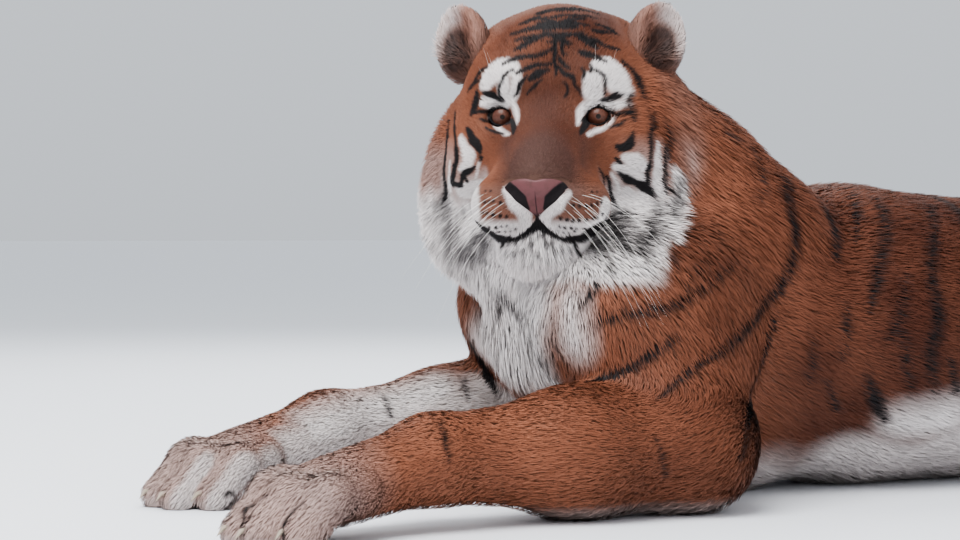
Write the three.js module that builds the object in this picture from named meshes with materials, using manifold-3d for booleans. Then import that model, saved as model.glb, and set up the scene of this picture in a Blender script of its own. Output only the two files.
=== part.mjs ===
// A Siberian tiger, adult male, lying on its chest with its head up and turned to its left.
// Life size, in millimetres. +Z is up, the head end is towards -X and the animal's left flank towards -Y.
// The origin is on the flat under the breastbone, on the floor, in the trunk's plane of symmetry.
//
// The animal is one smooth field of flesh: every bone and muscle is a lump, the lumps melt into each other,
// and the field's zero surface is the tips of the coat. Each node is that surface, wrapped at its own
// fineness and parted from its neighbours by thin plane cuts.
import * as THREE from "three";
import { mergeVertices } from "three/addons/utils/BufferGeometryUtils.js";
import Module from "manifold-3d";

const wasm = await Module();
wasm.setup();

// ---- Driving dimensions ----
const GAP = 0.4; // width of the cut between two nodes
const BACK = 402; // height of the back above the floor
const CHEST_HALF = 190; // half the chest's width behind the shoulders
const BELLY_HALF = 215; // half the belly's width
const FOREARM = 345; // elbow joint to wrist
const FOREPAW = 272; // wrist to toe tips
const HINDFOOT = 305; // hock to toe tips
const PAW_HALF = 50; // from the paw's middle line to the outer toes' middle lines
const EYE_RADIUS = 18.5;
const EYE_SIDE = 60; // from the face's middle line to each eye
const HEAD_TURN = 54; // degrees from straight ahead to where the face points, to the animal's left
const MID_EYE = [-290, -80, 486]; // the point midway between the eyes

const LEFT = -1;
const RIGHT = 1;
const v3 = (x, y, z) => new THREE.Vector3(x, y, z);
const radians = THREE.MathUtils.degToRad;

// ---- Lumps of flesh ----
// A lump gives the distance from a point to its surface, below 0 inside.

// A tapered round bar from a to b, widened to the sides (along y) by a factor.
function bar(a, b, ra, rb, blend = 40, widen = 1) {
  const [ax, ay, az] = a.isVector3 ? a.toArray() : a;
  const [bx, by, bz] = b.isVector3 ? b.toArray() : b;
  const [dx, dy, dz] = [bx - ax, (by - ay) / widen, bz - az];
  const length2 = dx * dx + dy * dy + dz * dz;
  return {
    blend,
    distance(x, y, z) {
      const [px, py, pz] = [x - ax, (y - ay) / widen, z - az];
      const t = Math.min(1, Math.max(0, (px * dx + py * dy + pz * dz) / length2));
      return Math.hypot(px - t * dx, py - t * dy, pz - t * dz) - (ra + t * (rb - ra));
    },
  };
}

// An ellipsoid, turned by degrees about x, y and z.
function egg(centre, radii, blend = 40, turn = [0, 0, 0]) {
  const [cx, cy, cz] = centre;
  const [a, b, c] = radii;
  const m = new THREE.Matrix4()
    .makeRotationFromEuler(new THREE.Euler(...turn.map(radians), "ZYX"))
    .transpose().elements;
  return {
    blend,
    distance(x, y, z) {
      const [px, py, pz] = [x - cx, y - cy, z - cz];
      const qx = (m[0] * px + m[4] * py + m[8] * pz) / a;
      const qy = (m[1] * px + m[5] * py + m[9] * pz) / b;
      const qz = (m[2] * px + m[6] * py + m[10] * pz) / c;
      const size = Math.hypot(qx, qy, qz);
      const steep = Math.hypot(qx / a, qy / b, qz / c);
      return steep > 0 ? (size * (size - 1)) / steep : -Math.min(a, b, c);
    },
  };
}

// The smaller of two distances, rounded where they are closer than k.
function melt(d, e, k) {
  const h = Math.max(0, k - Math.abs(d - e)) / k;
  return Math.min(d, e) - (h * h * k) / 4;
}
const meltAll = (lumps, x, y, z) =>
  lumps.reduce((d, lump) => melt(d, lump.distance(x, y, z), lump.blend), 1e6);

// ---- Trunk and neck ----
const SPINE_Z = BACK / 2;
const trunk = [
  bar([-190, 0, 236], [0, 0, 210], 142, 194, 20, 0.96),
  bar([0, 0, 208], [200, 0, SPINE_Z], 196, 200, 20, CHEST_HALF / 196),
  bar([200, 0, SPINE_Z], [450, 0, 189], 204, 196, 20, 1.04),
  bar([450, 0, 189], [690, 0, 196], 196, 202, 20, BELLY_HALF / 200),
  bar([690, 0, 196], [880, 0, 210], 202, 182, 20, 1.03),
  bar([880, 0, 210], [1000, 0, 204], 182, 124, 20, 0.98),
  egg([-44, 0, 146], [160, 126, 158], 60), // breastbone
];
const neck = [
  bar([40, 0, 240], [-72, -4, 356], 148, 142, 50),
  bar([-72, -4, 356], [-186, -10, 450], 142, 138, 60),
  bar([-80, 4, 262], [-215, -22, 372], 140, 118, 70),
  egg([-258, -30, 330], [86, 96, 90], 60), // throat
];

// ---- Forelegs ----
// The joints of one foreleg. The right one reaches a little less far forward and turns in.
function forelegJoints(side) {
  const back = side === LEFT ? 0 : 38;
  const legTurn = radians(side === LEFT ? -1 : 7);
  const pawTurn = radians(side === LEFT ? -11 : 15);
  const ahead = (turn) => v3(-Math.cos(turn), -side * Math.sin(turn), 0);
  const elbow = v3(-178 + back, side * 220, 82);
  return {
    shoulder: v3(-232 + back, side * 142, 246),
    elbow,
    wrist: elbow.clone().addScaledVector(ahead(legTurn), FOREARM).setZ(80),
    forward: ahead(pawTurn),
  };
}

function foreleg(side) {
  const { shoulder, elbow, wrist, forward } = forelegJoints(side);
  const back = shoulder.x + 232;
  const mid = elbow.clone().lerp(wrist, 0.45).setZ(79);
  return [
    bar([24 + back, side * 90, 338], shoulder, 68, 84, 60), // shoulder blade
    bar(shoulder, elbow, 92, 74, 60), // upper arm
    egg([-152 + back, side * 172, 208], [96, 74, 136], 60), // triceps
    bar(elbow, mid, 82, 72, 50), // forearm
    bar(mid, wrist, 72, 50, 50),
    ...paw(wrist, forward, FOREPAW, 25),
  ];
}

// A paw: the foot's back from its root to the knuckles, and four toes that fan out and drop to the floor.
function paw(root, forward, length, radius) {
  const knuckles = root.clone().addScaledVector(forward, length * 0.5);
  return [
    bar(root, knuckles.setZ(53), root.z - 32, 42, 30, 1.25),
    ...toes(root, forward, length, radius).flatMap((toe) => [
      bar(toe.base, toe.knee, radius, radius + 2, 24),
      bar(toe.knee, toe.tip, radius + 2, radius, 18),
    ]),
  ];
}

// Each toe's base, knee, tip and claw root, from the paw's one side to the other.
function toes(root, forward, length, radius) {
  const across = v3(-forward.y, forward.x, 0);
  const at = (reach, aside, height) =>
    root.clone().addScaledVector(forward, reach).addScaledVector(across, aside).setZ(height);
  return [-1, -0.36, 0.36, 1].map((place) => {
    const reach = length - radius - (Math.abs(place) > 0.5 ? 30 : 0);
    return {
      base: at(length * 0.48, place * PAW_HALF * 0.8, 56),
      knee: at(reach - 40, place * PAW_HALF * 0.98, 52),
      tip: at(reach, place * PAW_HALF * 1.08, radius - 10),
      clawRoot: at(reach + 5, place * PAW_HALF, radius - 5),
    };
  });
}

// ---- Hind legs, folded beside the belly ----
function hindlegJoints(side) {
  return {
    hip: v3(880, side * 100, 262),
    knee: v3(600, side * 238, 146),
    hock: v3(925, side * 268, 58),
    forward: v3(-1, side * 0.04, 0).normalize(),
  };
}

function hindleg(side) {
  const { hip, knee, hock, forward } = hindlegJoints(side);
  const root = hock.clone().addScaledVector(forward, 95).setZ(42);
  return [
    bar(hip, knee, 146, 94, 70), // thigh
    egg([792, side * 168, 192], [182, 92, 142], 70),
    bar(knee, hock, 82, 48, 50), // shank
    egg([956, side * 264, 56], [50, 38, 56], 30), // heel
    bar(hock.clone().setZ(44), root, 46, 42, 30, 1.15),
    ...paw(root.setZ(72), forward, HINDFOOT - 95, 24),
  ];
}

// ---- Tail, lying on the floor and curling forward along the left side ----
const TAIL_PATH = new THREE.CatmullRomCurve3(
  [
    v3(1030, 0, 188),
    v3(1130, 6, 122),
    v3(1235, 16, 58),
    v3(1345, 0, 42),
    v3(1412, -90, 38),
    v3(1400, -215, 35),
    v3(1310, -320, 33),
    v3(1180, -385, 31),
    v3(1050, -412, 27),
  ],
  false,
  "centripetal",
);
const TAIL_STEPS = 30;
const tailRadius = (t) => THREE.MathUtils.lerp(56, 34, t) - Math.max(0, t - 0.93) * 150;
const tail = Array.from({ length: TAIL_STEPS }, (_, i) => {
  const [t, u] = [i / TAIL_STEPS, (i + 1) / TAIL_STEPS];
  return bar(TAIL_PATH.getPointAt(t), TAIL_PATH.getPointAt(u), tailRadius(t), tailRadius(u), 12);
});

// ---- Head ----
// Its own frame starts midway between the eyes: x out of the face, y to the side, z up.
const headPlace = new THREE.Matrix4()
  .makeTranslation(...MID_EYE)
  .multiply(new THREE.Matrix4().makeRotationZ(radians(HEAD_TURN + 180)));
const headBack = headPlace.clone().invert();
const skull = [
  egg([-95, 0, 58], [108, 94, 92], 40), // braincase
  egg([-62, 62, 28], [62, 54, 62], 40), // temple
  egg([-26, 36, 32], [48, 46, 36], 30), // brow
  egg([-34, 78, -56], [62, 56, 64], 40), // cheekbone
  bar([-12, 0, 4], [98, 0, -88], 38, 29, 30, 1.12), // bridge of the nose
  egg([55, 0, -88], [78, 60, 54], 30), // muzzle
  egg([88, 40, -112], [47, 43, 40], 20), // whisker pad
  egg([118, 0, -88], [24, 33, 24], 12), // nose
  egg([-86, 102, -76], [54, 74, 118], 40, [12, 0, 0]), // cheek ruff
  egg([-74, 86, -142], [54, 66, 64], 40), // jaw ruff
  egg([-62, 0, -150], [84, 108, 66], 50), // throat ruff
  bar([52, 20, -160], [-60, 62, -128], 32, 44, 40), // lower jaw
  egg([70, 0, -164], [42, 46, 35], 12), // chin
];
const headField = (x, y, z) => meltAll(skull, x, Math.abs(y), z);

// ---- The whole animal without its ears ----
const HEAD_BLEND = 50;
const body = [trunk, neck, foreleg(LEFT), foreleg(RIGHT), hindleg(LEFT), hindleg(RIGHT), tail].flat();
const local = v3(0, 0, 0);
function flesh(x, y, z) {
  local.set(x, y, z).applyMatrix4(headBack);
  return melt(meltAll(body, x, y, z), headField(local.x, local.y, local.z), HEAD_BLEND);
}

// ---- Wrapping a field in a closed mesh ----
// Surface nets: one vertex in each cell of a box that the surface passes through, moved onto the surface,
// and one quad round each lattice edge that the surface cuts. The box's own walls count as outside.
const CORNERS = [0, 1, 2, 3, 4, 5, 6, 7].map((c) => [c & 1, (c >> 1) & 1, c >> 2]);
const EDGES = CORNERS.flatMap((from, a) =>
  CORNERS.map((to, b) => [a, b]).filter(
    ([, b]) => b > a && CORNERS[b].reduce((sum, c, axis) => sum + Math.abs(c - from[axis]), 0) === 1,
  ),
);

function wrap(field, frame, low, high, steps) {
  const count = steps.map((step, axis) => Math.max(3, Math.ceil((high[axis] - low[axis]) / step) + 1));
  const pitch = count.map((n, axis) => (high[axis] - low[axis]) / (n - 1));
  const [nx, ny, nz] = count;
  const at = (i, j, k) => (k * ny + j) * nx + i;
  const place = (i, j, k) =>
    v3(low[0] + i * pitch[0], low[1] + j * pitch[1], low[2] + k * pitch[2]).applyMatrix4(frame);
  const reach = Math.min(...pitch) / 2;
  const values = new Float64Array(nx * ny * nz);
  for (let k = 0; k < nz; k++)
    for (let j = 0; j < ny; j++)
      for (let i = 0; i < nx; i++) {
        const wall = i * j * k === 0 || i === nx - 1 || j === ny - 1 || k === nz - 1;
        const p = place(i, j, k);
        const d = field(p.x, p.y, p.z);
        values[at(i, j, k)] = wall ? Math.max(reach, d) : d;
      }
  const cellVertex = new Int32Array(nx * ny * nz).fill(-1);
  const positions = [];
  for (let k = 0; k < nz - 1; k++)
    for (let j = 0; j < ny - 1; j++)
      for (let i = 0; i < nx - 1; i++) {
        const d = CORNERS.map(([a, b, c]) => values[at(i + a, j + b, k + c)]);
        const crossed = EDGES.filter(([a, b]) => d[a] > 0 !== d[b] > 0);
        if (crossed.length === 0) continue;
        const mean = [0, 0, 0];
        for (const [a, b] of crossed) {
          const t = d[a] / (d[a] - d[b]);
          for (let axis = 0; axis < 3; axis++)
            mean[axis] += (CORNERS[a][axis] * (1 - t) + CORNERS[b][axis] * t) / crossed.length;
        }
        const vertex = place(i + mean[0], j + mean[1], k + mean[2]);
        const inner = i * j * k > 0 && i < nx - 2 && j < ny - 2 && k < nz - 2;
        if (inner) settle(vertex, field, reach);
        cellVertex[at(i, j, k)] = positions.length / 3;
        positions.push(vertex.x, vertex.y, vertex.z);
      }
  const faces = [];
  const quad = (cells, flip) => {
    const ring = cells.map((cell) => cellVertex[at(...cell)]);
    if (flip) ring.reverse();
    faces.push(ring[0], ring[1], ring[2], ring[0], ring[2], ring[3]);
  };
  for (let k = 0; k < nz - 1; k++)
    for (let j = 0; j < ny - 1; j++)
      for (let i = 0; i < nx - 1; i++) {
        const inside = values[at(i, j, k)] <= 0;
        if (j * k > 0 && inside !== values[at(i + 1, j, k)] <= 0)
          quad([[i, j - 1, k - 1], [i, j, k - 1], [i, j, k], [i, j - 1, k]], !inside);
        if (i * k > 0 && inside !== values[at(i, j + 1, k)] <= 0)
          quad([[i - 1, j, k - 1], [i - 1, j, k], [i, j, k], [i, j, k - 1]], !inside);
        if (i * j > 0 && inside !== values[at(i, j, k + 1)] <= 0)
          quad([[i - 1, j - 1, k], [i, j - 1, k], [i, j, k], [i - 1, j, k]], !inside);
      }
  return solidOf(new Float32Array(positions), new Uint32Array(faces));
}

// Moves a vertex onto the field's zero surface, by no more than the reach.
function settle(vertex, field, reach) {
  const start = vertex.clone();
  for (let round = 0; round < 3; round++) {
    const { x, y, z } = vertex;
    const d = field(x, y, z);
    const slope = v3(field(x + 1, y, z) - d, field(x, y + 1, z) - d, field(x, y, z + 1) - d);
    if (slope.lengthSq() < 0.04) break;
    vertex.addScaledVector(slope, -d / slope.lengthSq());
  }
  vertex.sub(start).clampLength(0, reach).add(start);
}

const solidOf = (vertProperties, triVerts) =>
  new wasm.Manifold(new wasm.Mesh({ numProp: 3, vertProperties, triVerts }));

// A three.js shape as a solid, with its shared corners merged.
function solidFrom(geometry, matrix = new THREE.Matrix4()) {
  const bare = geometry.clone();
  bare.deleteAttribute("normal");
  bare.deleteAttribute("uv");
  const merged = mergeVertices(bare, 1e-4).applyMatrix4(matrix);
  return solidOf(merged.getAttribute("position").array, new Uint32Array(merged.index.array));
}

// ---- Cutting ----
// A cut is a plane: its normal points to the side that is kept.
const cut = (at, normal) => ({ at: v3(...at), normal: v3(...normal).normalize() });
const flipped = ({ at, normal }) => ({ at, normal: normal.clone().negate() });
const inHead = ({ at, normal }) => ({
  at: at.clone().applyMatrix4(headPlace),
  normal: normal.clone().transformDirection(headPlace),
});
// The solid on the kept side of every plane, half a gap away from each.
const trimmed = (solid, planes, ease = GAP / 2) =>
  planes.reduce((s, { at, normal }) => s.trimByPlane(normal.toArray(), at.dot(normal) + ease), solid);
const WORLD = solidFrom(new THREE.BoxGeometry(6000, 6000, 6000));
// All space on the kept side of the planes, which a neighbour gives up.
const regionOf = (planes) => trimmed(WORLD, planes, -GAP / 2);

const AT_HEAD = cut([-196, 14, 430], [-0.62, -0.62, 0.3]);
const UNDER_HEAD = cut([-290, -50, 276], [-0.4, 0.2, 1]);
const AT_NECK = cut([-50, 0, 322], [-0.4, 0, 0.92]);
const AT_BARREL = cut([190, 0, 200], [1, 0, 0]);
const AT_RUMP = cut([720, 0, 200], [1, 0, 0]);
const AT_TAIL = cut([1062, 0, 160], [0.8, 0, -0.6]);
const AT_MOUTH = inHead(cut([80, 0, -148], [0.1, 0, -1]));
// The two cuts along the sides of the face, at a distance from its middle line.
const besideFace = (half) => [cut([0, half, 0], [0, -1, 0]), cut([0, -half, 0], [0, 1, 0])].map(inHead);
const MUZZLE_CUTS = [inHead(cut([34, 0, -60], [0.86, 0, -0.5])), flipped(AT_MOUTH), ...besideFace(88)];
const JAW_CUTS = [
  AT_MOUTH,
  inHead(cut([-2, 0, -150], [1, 0, -0.2])),
  inHead(cut([0, 0, -206], [0, 0, 1])),
  ...besideFace(64),
];
const NOSE_CUTS = [
  cut([114, 0, -88], [1, 0, 0.1]),
  cut([120, 0, -112], [0, 0, 1]),
  cut([120, 0, -64], [0.4, 0, -1]),
].map(inHead);

const forelegCuts = (side) => [
  cut([-178, side * 128, 0], [-0.12, side, -0.18]),
  cut([-30, 0, 200], [-1, 0, 0.12]),
  cut([0, 0, 322], [0, 0, -1]),
];
const hindlegCuts = (side) => [
  cut([600, side * 148, 0], [0.02, side, -0.12]),
  cut([498, 0, 0], [1, 0, 0]),
  cut([0, 0, 335], [0, 0, -1]),
];

// ---- Materials and nodes ----
const finish = (color, roughness) => new THREE.MeshStandardMaterial({ color, roughness, metalness: 0 });
const materials = {
  coat: finish(0xa8693f, 0.9),
  face: finish(0xb07c58, 0.9),
  paw: finish(0xc79a7c, 0.9),
  nose: finish(0xa5625a, 0.5),
  eye: finish(0x6b3a1c, 0.1),
  claw: finish(0xd8cdb8, 0.4),
};

const animal = new THREE.Group();
animal.name = "siberian_tiger";

function addNode(name, solid, material) {
  const mesh = solid.getMesh();
  const stride = mesh.numProp;
  const positions = new Float32Array(mesh.numVert * 3);
  for (let i = 0; i < mesh.numVert; i++)
    positions.set(mesh.vertProperties.subarray(i * stride, i * stride + 3), i * 3);
  const geometry = new THREE.BufferGeometry();
  geometry.setAttribute("position", new THREE.BufferAttribute(positions, 3));
  geometry.setIndex(new THREE.BufferAttribute(mesh.triVerts, 1));
  geometry.computeVertexNormals();
  const node = new THREE.Mesh(geometry, materials[material]);
  node.name = name;
  animal.add(node);
}

// The largest piece of a solid, without the crumbs that a cut can leave.
const main = (solid) =>
  solid.decompose().reduce((best, piece) => (piece.volume() > best.volume() ? piece : best));

const still = new THREE.Matrix4();
// The flesh inside a box, on the kept side of its cuts, outside its neighbours' regions and above the floor.
function fleshSolid({ low, high, steps, keep = [], leave = [], frame = still, field = flesh }) {
  const wrapped = trimmed(wrap(field, frame, low, high, steps), keep);
  return main(leave.reduce((s, region) => s.subtract(region), wrapped).trimByPlane([0, 0, 1], 0));
}

function fleshNode(name, place, material = "coat") {
  const solid = fleshSolid(place);
  addNode(name, solid, material);
  return solid;
}

// A horn: rings of points along a path that bends from the root towards the tip, closed at both ends.
function horn(root, mid, tip, radius, sides = 5) {
  const path = new THREE.QuadraticBezierCurve3(root, mid, tip);
  const rings = [0, 0.6].map((t) => ({ at: path.getPoint(t), along: path.getTangent(t), size: 1 - t * t }));
  const positions = [];
  for (const { at, along, size } of rings) {
    const aside = v3(-along.y, along.x, 0).normalize();
    const over = along.clone().cross(aside);
    for (let n = 0; n < sides; n++) {
      const turn = (n / sides) * 2 * Math.PI;
      const p = at.clone()
        .addScaledVector(aside, Math.cos(turn) * radius * 0.7 * size)
        .addScaledVector(over, Math.sin(turn) * radius * size);
      positions.push(...p.toArray());
    }
  }
  positions.push(...tip.toArray());
  const faces = [];
  const last = rings.length * sides;
  for (let n = 0; n < sides; n++) {
    const m = (n + 1) % sides;
    for (let r = 0; r < rings.length - 1; r++) {
      const [a, b] = [r * sides, (r + 1) * sides];
      faces.push(a + n, a + m, b + m, a + n, b + m, b + n);
    }
    faces.push(last - sides + n, last - sides + m, last);
    if (n > 0 && n < sides - 1) faces.push(0, m, n);
  }
  return solidOf(new Float32Array(positions), new Uint32Array(faces));
}

// A claw that grows out of the flesh at a point, and the slot that holds its root.
const CLAW_RADIUS = 5;
function claw(at, forward) {
  const made = (ease) => {
    const place = (reach, height) => at.clone().addScaledVector(forward, reach).add(v3(0, 0, height));
    return horn(place(-ease, 3), place(22, 6), place(30 + ease, -9 - ease), CLAW_RADIUS + ease);
  };
  return { solid: made(0), slot: made(GAP) };
}

// ---- The trunk, neck and tail ----
const headRegion = regionOf([AT_HEAD, UNDER_HEAD]);
const jawRegion = regionOf(JAW_CUTS);
const forelegs = [LEFT, RIGHT].map((side) => regionOf(forelegCuts(side)));
const hindlegs = [LEFT, RIGHT].map((side) => regionOf(hindlegCuts(side)));
fleshNode("chest", {
  low: [-400, -290, -40], high: [350, 290, 560], steps: [82, 66, 66],
  keep: [flipped(AT_NECK), flipped(AT_BARREL)], leave: [...forelegs, headRegion],
});
fleshNode("barrel", {
  low: [-50, -300, -40], high: [940, 300, 460], steps: [124, 64, 62],
  keep: [AT_BARREL, flipped(AT_RUMP)], leave: [...forelegs, ...hindlegs],
});
fleshNode("rump", {
  low: [560, -300, -40], high: [1190, 300, 460], steps: [79, 64, 62],
  keep: [AT_RUMP, flipped(AT_TAIL)], leave: hindlegs,
});
fleshNode("neck", {
  low: [-420, -260, 170], high: [230, 260, 680], steps: [64, 62, 62],
  keep: [AT_NECK], leave: [...forelegs, headRegion, jawRegion],
});

// The tail in four lengths, parted square to its path.
const TAIL_PARTS = [0.02, 0.27, 0.51, 0.75, 1];
const tailCut = (t) => cut(TAIL_PATH.getPointAt(t).toArray(), TAIL_PATH.getTangentAt(t).toArray());
TAIL_PARTS.slice(1).forEach((end, index) => {
  const start = TAIL_PARTS[index];
  const spots = [0, 0.25, 0.5, 0.75, 1].map((t) => TAIL_PATH.getPointAt(THREE.MathUtils.lerp(start, end, t)));
  const around = new THREE.Box3().setFromPoints(spots).expandByScalar(90);
  const keep = [index === 0 ? AT_TAIL : tailCut(start)];
  if (end < 1) keep.push(flipped(tailCut(end)));
  fleshNode(`tail_${index + 1}`, {
    low: around.min.toArray(), high: around.max.toArray(), steps: [56, 56, 40], keep,
  });
});

// ---- The legs ----
const toeClaws = (root, forward, length, radius) =>
  toes(root, forward, length, radius).map(({ clawRoot }) => claw(clawRoot, forward));
// Adds one paw's claws and gives back their slots.
function addClaws(limb, word, claws) {
  claws.forEach(({ solid }, index) => addNode(`${limb}_claw_${word}_${index + 1}`, solid, "claw"));
  return claws.map(({ slot }) => slot);
}

for (const [side, word] of [[LEFT, "left"], [RIGHT, "right"]]) {
  const sideBox = (near, far, x, z) => {
    const [a, b] = [side * near, side * far].sort((p, q) => p - q);
    return { low: [x[0], a, -30], high: [x[1], b, z] };
  };
  const { elbow, wrist, forward } = forelegJoints(side);
  const atElbow = cut([elbow.x - 70, 0, 120], [-0.86, 0, -0.4]);
  const atWrist = cut(wrist.toArray(), forward.toArray());
  fleshNode(`upper_arm_${word}`, {
    ...sideBox(70, 350, [elbow.x - 190, 60], 400), steps: [50, 50, 50],
    keep: [...forelegCuts(side), flipped(atElbow)], leave: [headRegion, jawRegion],
  });
  fleshNode(`forearm_${word}`, {
    ...sideBox(60, 350, [wrist.x - 130, elbow.x + 140], 300), steps: [80, 39, 39],
    keep: [...forelegCuts(side), atElbow, flipped(atWrist)],
  });
  const inward = v3(-forward.y, forward.x, 0).multiplyScalar(side);
  const dewclaw = claw(wrist.clone().addScaledVector(forward, 40).addScaledVector(inward, 44).setZ(44),
    forward.clone().add(inward).normalize());
  fleshNode(`forepaw_${word}`, {
    ...sideBox(60, 380, [wrist.x - FOREPAW - 40, wrist.x + 90], 170), steps: [42, 25, 27],
    keep: [atWrist], leave: addClaws("forepaw", word, [...toeClaws(wrist, forward, FOREPAW, 25), dewclaw]),
  }, "paw");

  const hind = hindlegJoints(side);
  const overFoot = cut([hind.hock.x - 100, 0, 100], [0.08, 0, 1]);
  const atHock = cut([hind.hock.x - 70, 0, 0], [1, 0, 0]);
  const root = hind.hock.clone().addScaledVector(hind.forward, 95).setZ(72);
  fleshNode(`thigh_${word}`, {
    ...sideBox(110, 390, [390, 1090], 400), steps: [66, 58, 58],
    keep: [...hindlegCuts(side), overFoot],
  });
  fleshNode(`hock_${word}`, {
    ...sideBox(130, 380, [hind.hock.x - 170, 1080], 190), steps: [52, 36, 38],
    keep: [...hindlegCuts(side), flipped(overFoot), atHock],
  });
  fleshNode(`hindpaw_${word}`, {
    ...sideBox(130, 390, [hind.hock.x - HINDFOOT - 50, hind.hock.x + 30], 170), steps: [50, 29, 31],
    keep: [...hindlegCuts(side), flipped(overFoot), flipped(atHock)],
    leave: addClaws("hindpaw", word, toeClaws(root, hind.forward, HINDFOOT - 95, 24)),
  }, "paw");
}

// ---- The head ----
const inFace = (low, high, steps, extra) => ({ low, high, steps, frame: headPlace, ...extra });
const HEAD_BOX = [[-290, -220, -260], [110, 220, 190], [39, 38, 36]];
// A faceted ball on the face's left or right side, stretched along its own axes and then turned.
function ball(side, [x, y, z], radii, bands, turn = [0, 0, 0]) {
  const [aboutX, aboutY, aboutZ] = turn.map(radians);
  const placed = headPlace.clone()
    .multiply(new THREE.Matrix4().makeTranslation(x, side * y, z))
    .multiply(new THREE.Matrix4()
      .makeRotationFromEuler(new THREE.Euler(side * aboutX, aboutY, side * aboutZ, "ZYX")));
  return solidFrom(new THREE.SphereGeometry(1, bands + 4, bands).scale(...radii), placed);
}
const sphere = (radius) => [radius, radius, radius];
// The eye's hollow, a little wider than the eyeball, and the opening between the lids in front of it.
const eyeHole = (side) =>
  ball(side, [0, EYE_SIDE, 0], sphere(EYE_RADIUS * 1.15), 6).add(
    ball(side, [24, EYE_SIDE + 2, -1], [28, 23, 16], 6),
  );
fleshNode("head", inFace(...HEAD_BOX, {
  keep: [AT_HEAD, UNDER_HEAD],
  leave: [jawRegion, regionOf(MUZZLE_CUTS), eyeHole(LEFT), eyeHole(RIGHT)],
}), "face");
fleshNode("muzzle", inFace([-30, -130, -240], [170, 130, 40], [28, 27, 28], {
  keep: MUZZLE_CUTS, leave: [regionOf(NOSE_CUTS)],
}), "face");
fleshNode("nose", inFace([70, -66, -150], [165, 66, -30], [21, 18, 18], { keep: NOSE_CUTS }), "nose");
fleshNode("lower_jaw", inFace([-60, -120, -250], [150, 120, -100], [30, 27, 27], {
  keep: JAW_CUTS,
}), "face");

// The ears and eyes. An ear is a thick shell, hollow towards the front and the side, that stands just clear
// of the head's own faces. The face frame's y runs to the animal's left.
const nearHead = wrap((x, y, z) => flesh(x, y, z) - 2 * GAP, headPlace, ...HEAD_BOX);
const EAR_TURN = [-16, -6, 28];
for (const [side, word] of [[RIGHT, "left"], [LEFT, "right"]]) {
  const shell = ball(side, [-86, 124, 96], [25, 40, 52], 7, EAR_TURN);
  const hollow = ball(side, [-62, 137, 108], [26, 28, 40], 5, EAR_TURN);
  addNode(`ear_${word}`, main(shell.subtract(hollow).subtract(nearHead)), "face");
  addNode(`eye_${word}`, ball(side, [0, EYE_SIDE, 0], sphere(EYE_RADIUS), 7), "eye");
}

export default animal;
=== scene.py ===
"""The looks of a life-size Siberian tiger that lies on its chest with its head up and turned to its left.

The animal is worked out in millimetres as one smooth field of flesh: bones and muscles are lumps that melt
into each other. Each lump is shrunk by the depth of the coat that grows on it, and the field's zero surface
is the skin. The coat is blades of hair rooted in the skin, and both carry the same markings.
Meshes are in metres, +Z up, the head end towards -X and the animal's left flank towards -Y.
"""
import logging
import math
from collections.abc import Callable
from dataclasses import dataclass
from enum import Enum

import bpy
import numpy as np
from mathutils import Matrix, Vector


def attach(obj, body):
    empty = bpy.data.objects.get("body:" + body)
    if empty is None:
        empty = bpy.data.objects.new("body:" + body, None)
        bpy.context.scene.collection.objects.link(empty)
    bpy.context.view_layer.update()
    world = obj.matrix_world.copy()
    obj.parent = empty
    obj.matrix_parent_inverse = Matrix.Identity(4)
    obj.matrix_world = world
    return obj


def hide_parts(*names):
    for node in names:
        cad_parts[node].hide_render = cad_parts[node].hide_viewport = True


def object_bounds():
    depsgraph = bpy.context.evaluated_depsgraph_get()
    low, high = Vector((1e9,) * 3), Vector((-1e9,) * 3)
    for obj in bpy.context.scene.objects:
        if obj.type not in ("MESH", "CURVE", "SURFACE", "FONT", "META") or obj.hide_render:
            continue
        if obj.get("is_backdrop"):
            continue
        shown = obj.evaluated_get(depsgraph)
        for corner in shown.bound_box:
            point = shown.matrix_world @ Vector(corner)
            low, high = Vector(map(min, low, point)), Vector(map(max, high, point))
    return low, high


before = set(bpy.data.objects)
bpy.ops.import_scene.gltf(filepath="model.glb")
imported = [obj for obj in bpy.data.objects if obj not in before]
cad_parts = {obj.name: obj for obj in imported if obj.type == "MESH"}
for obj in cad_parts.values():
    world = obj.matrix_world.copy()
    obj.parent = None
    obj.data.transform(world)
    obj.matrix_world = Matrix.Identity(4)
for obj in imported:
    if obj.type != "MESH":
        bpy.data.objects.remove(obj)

LOG = logging.getLogger("tiger")
MM = 0.001
LEFT, RIGHT = -1, 1
Array = np.ndarray
Place = Colour = tuple[float, float, float]
Material = bpy.types.Material
Piece = bpy.types.Object
Socket = bpy.types.NodeSocket


def unit(vectors: Array) -> Array:
    """Vectors divided by their lengths, along the last axis."""
    return vectors / np.maximum(np.linalg.norm(vectors, axis=-1, keepdims=True), 1e-9)


def melt(d: Array, e: Array, k: float) -> Array:
    """The smaller of two distances, rounded where they are closer than k: min(d, e) - h*h*k/4."""
    h = np.maximum(0.0, k - np.abs(d - e)) / k
    return np.minimum(d, e) - h * h * k / 4


def carve(d: Array, e: Array, k: float) -> Array:
    """The distance to what is inside d and outside e, rounded over k where their surfaces meet."""
    return -melt(-d, e, k)


def ramp(value: Array, start: float, end: float, low: float = 0, high: float = 1) -> Array:
    """How far values are from start to end, (value - start)/(end - start), kept between low and high."""
    return np.clip((value - start) / (end - start), low, high)


def halved(q: Array) -> tuple[Array, Array, Array]:
    """Points' x, their distance from the middle line and their z, in the face's frame."""
    return q[:, 0], np.abs(q[:, 1]), q[:, 2]


def flattened(v: Array, normal: Array) -> Array:
    """Vectors without their part along the normal: v - (v.n)*n."""
    return v - (v * normal).sum(1, keepdims=True) * normal


def runs(path: Array) -> Array:
    """The length of a path up to each of its points."""
    return np.concatenate([[0], np.cumsum(np.linalg.norm(np.diff(path, axis=0), axis=1))])


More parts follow.
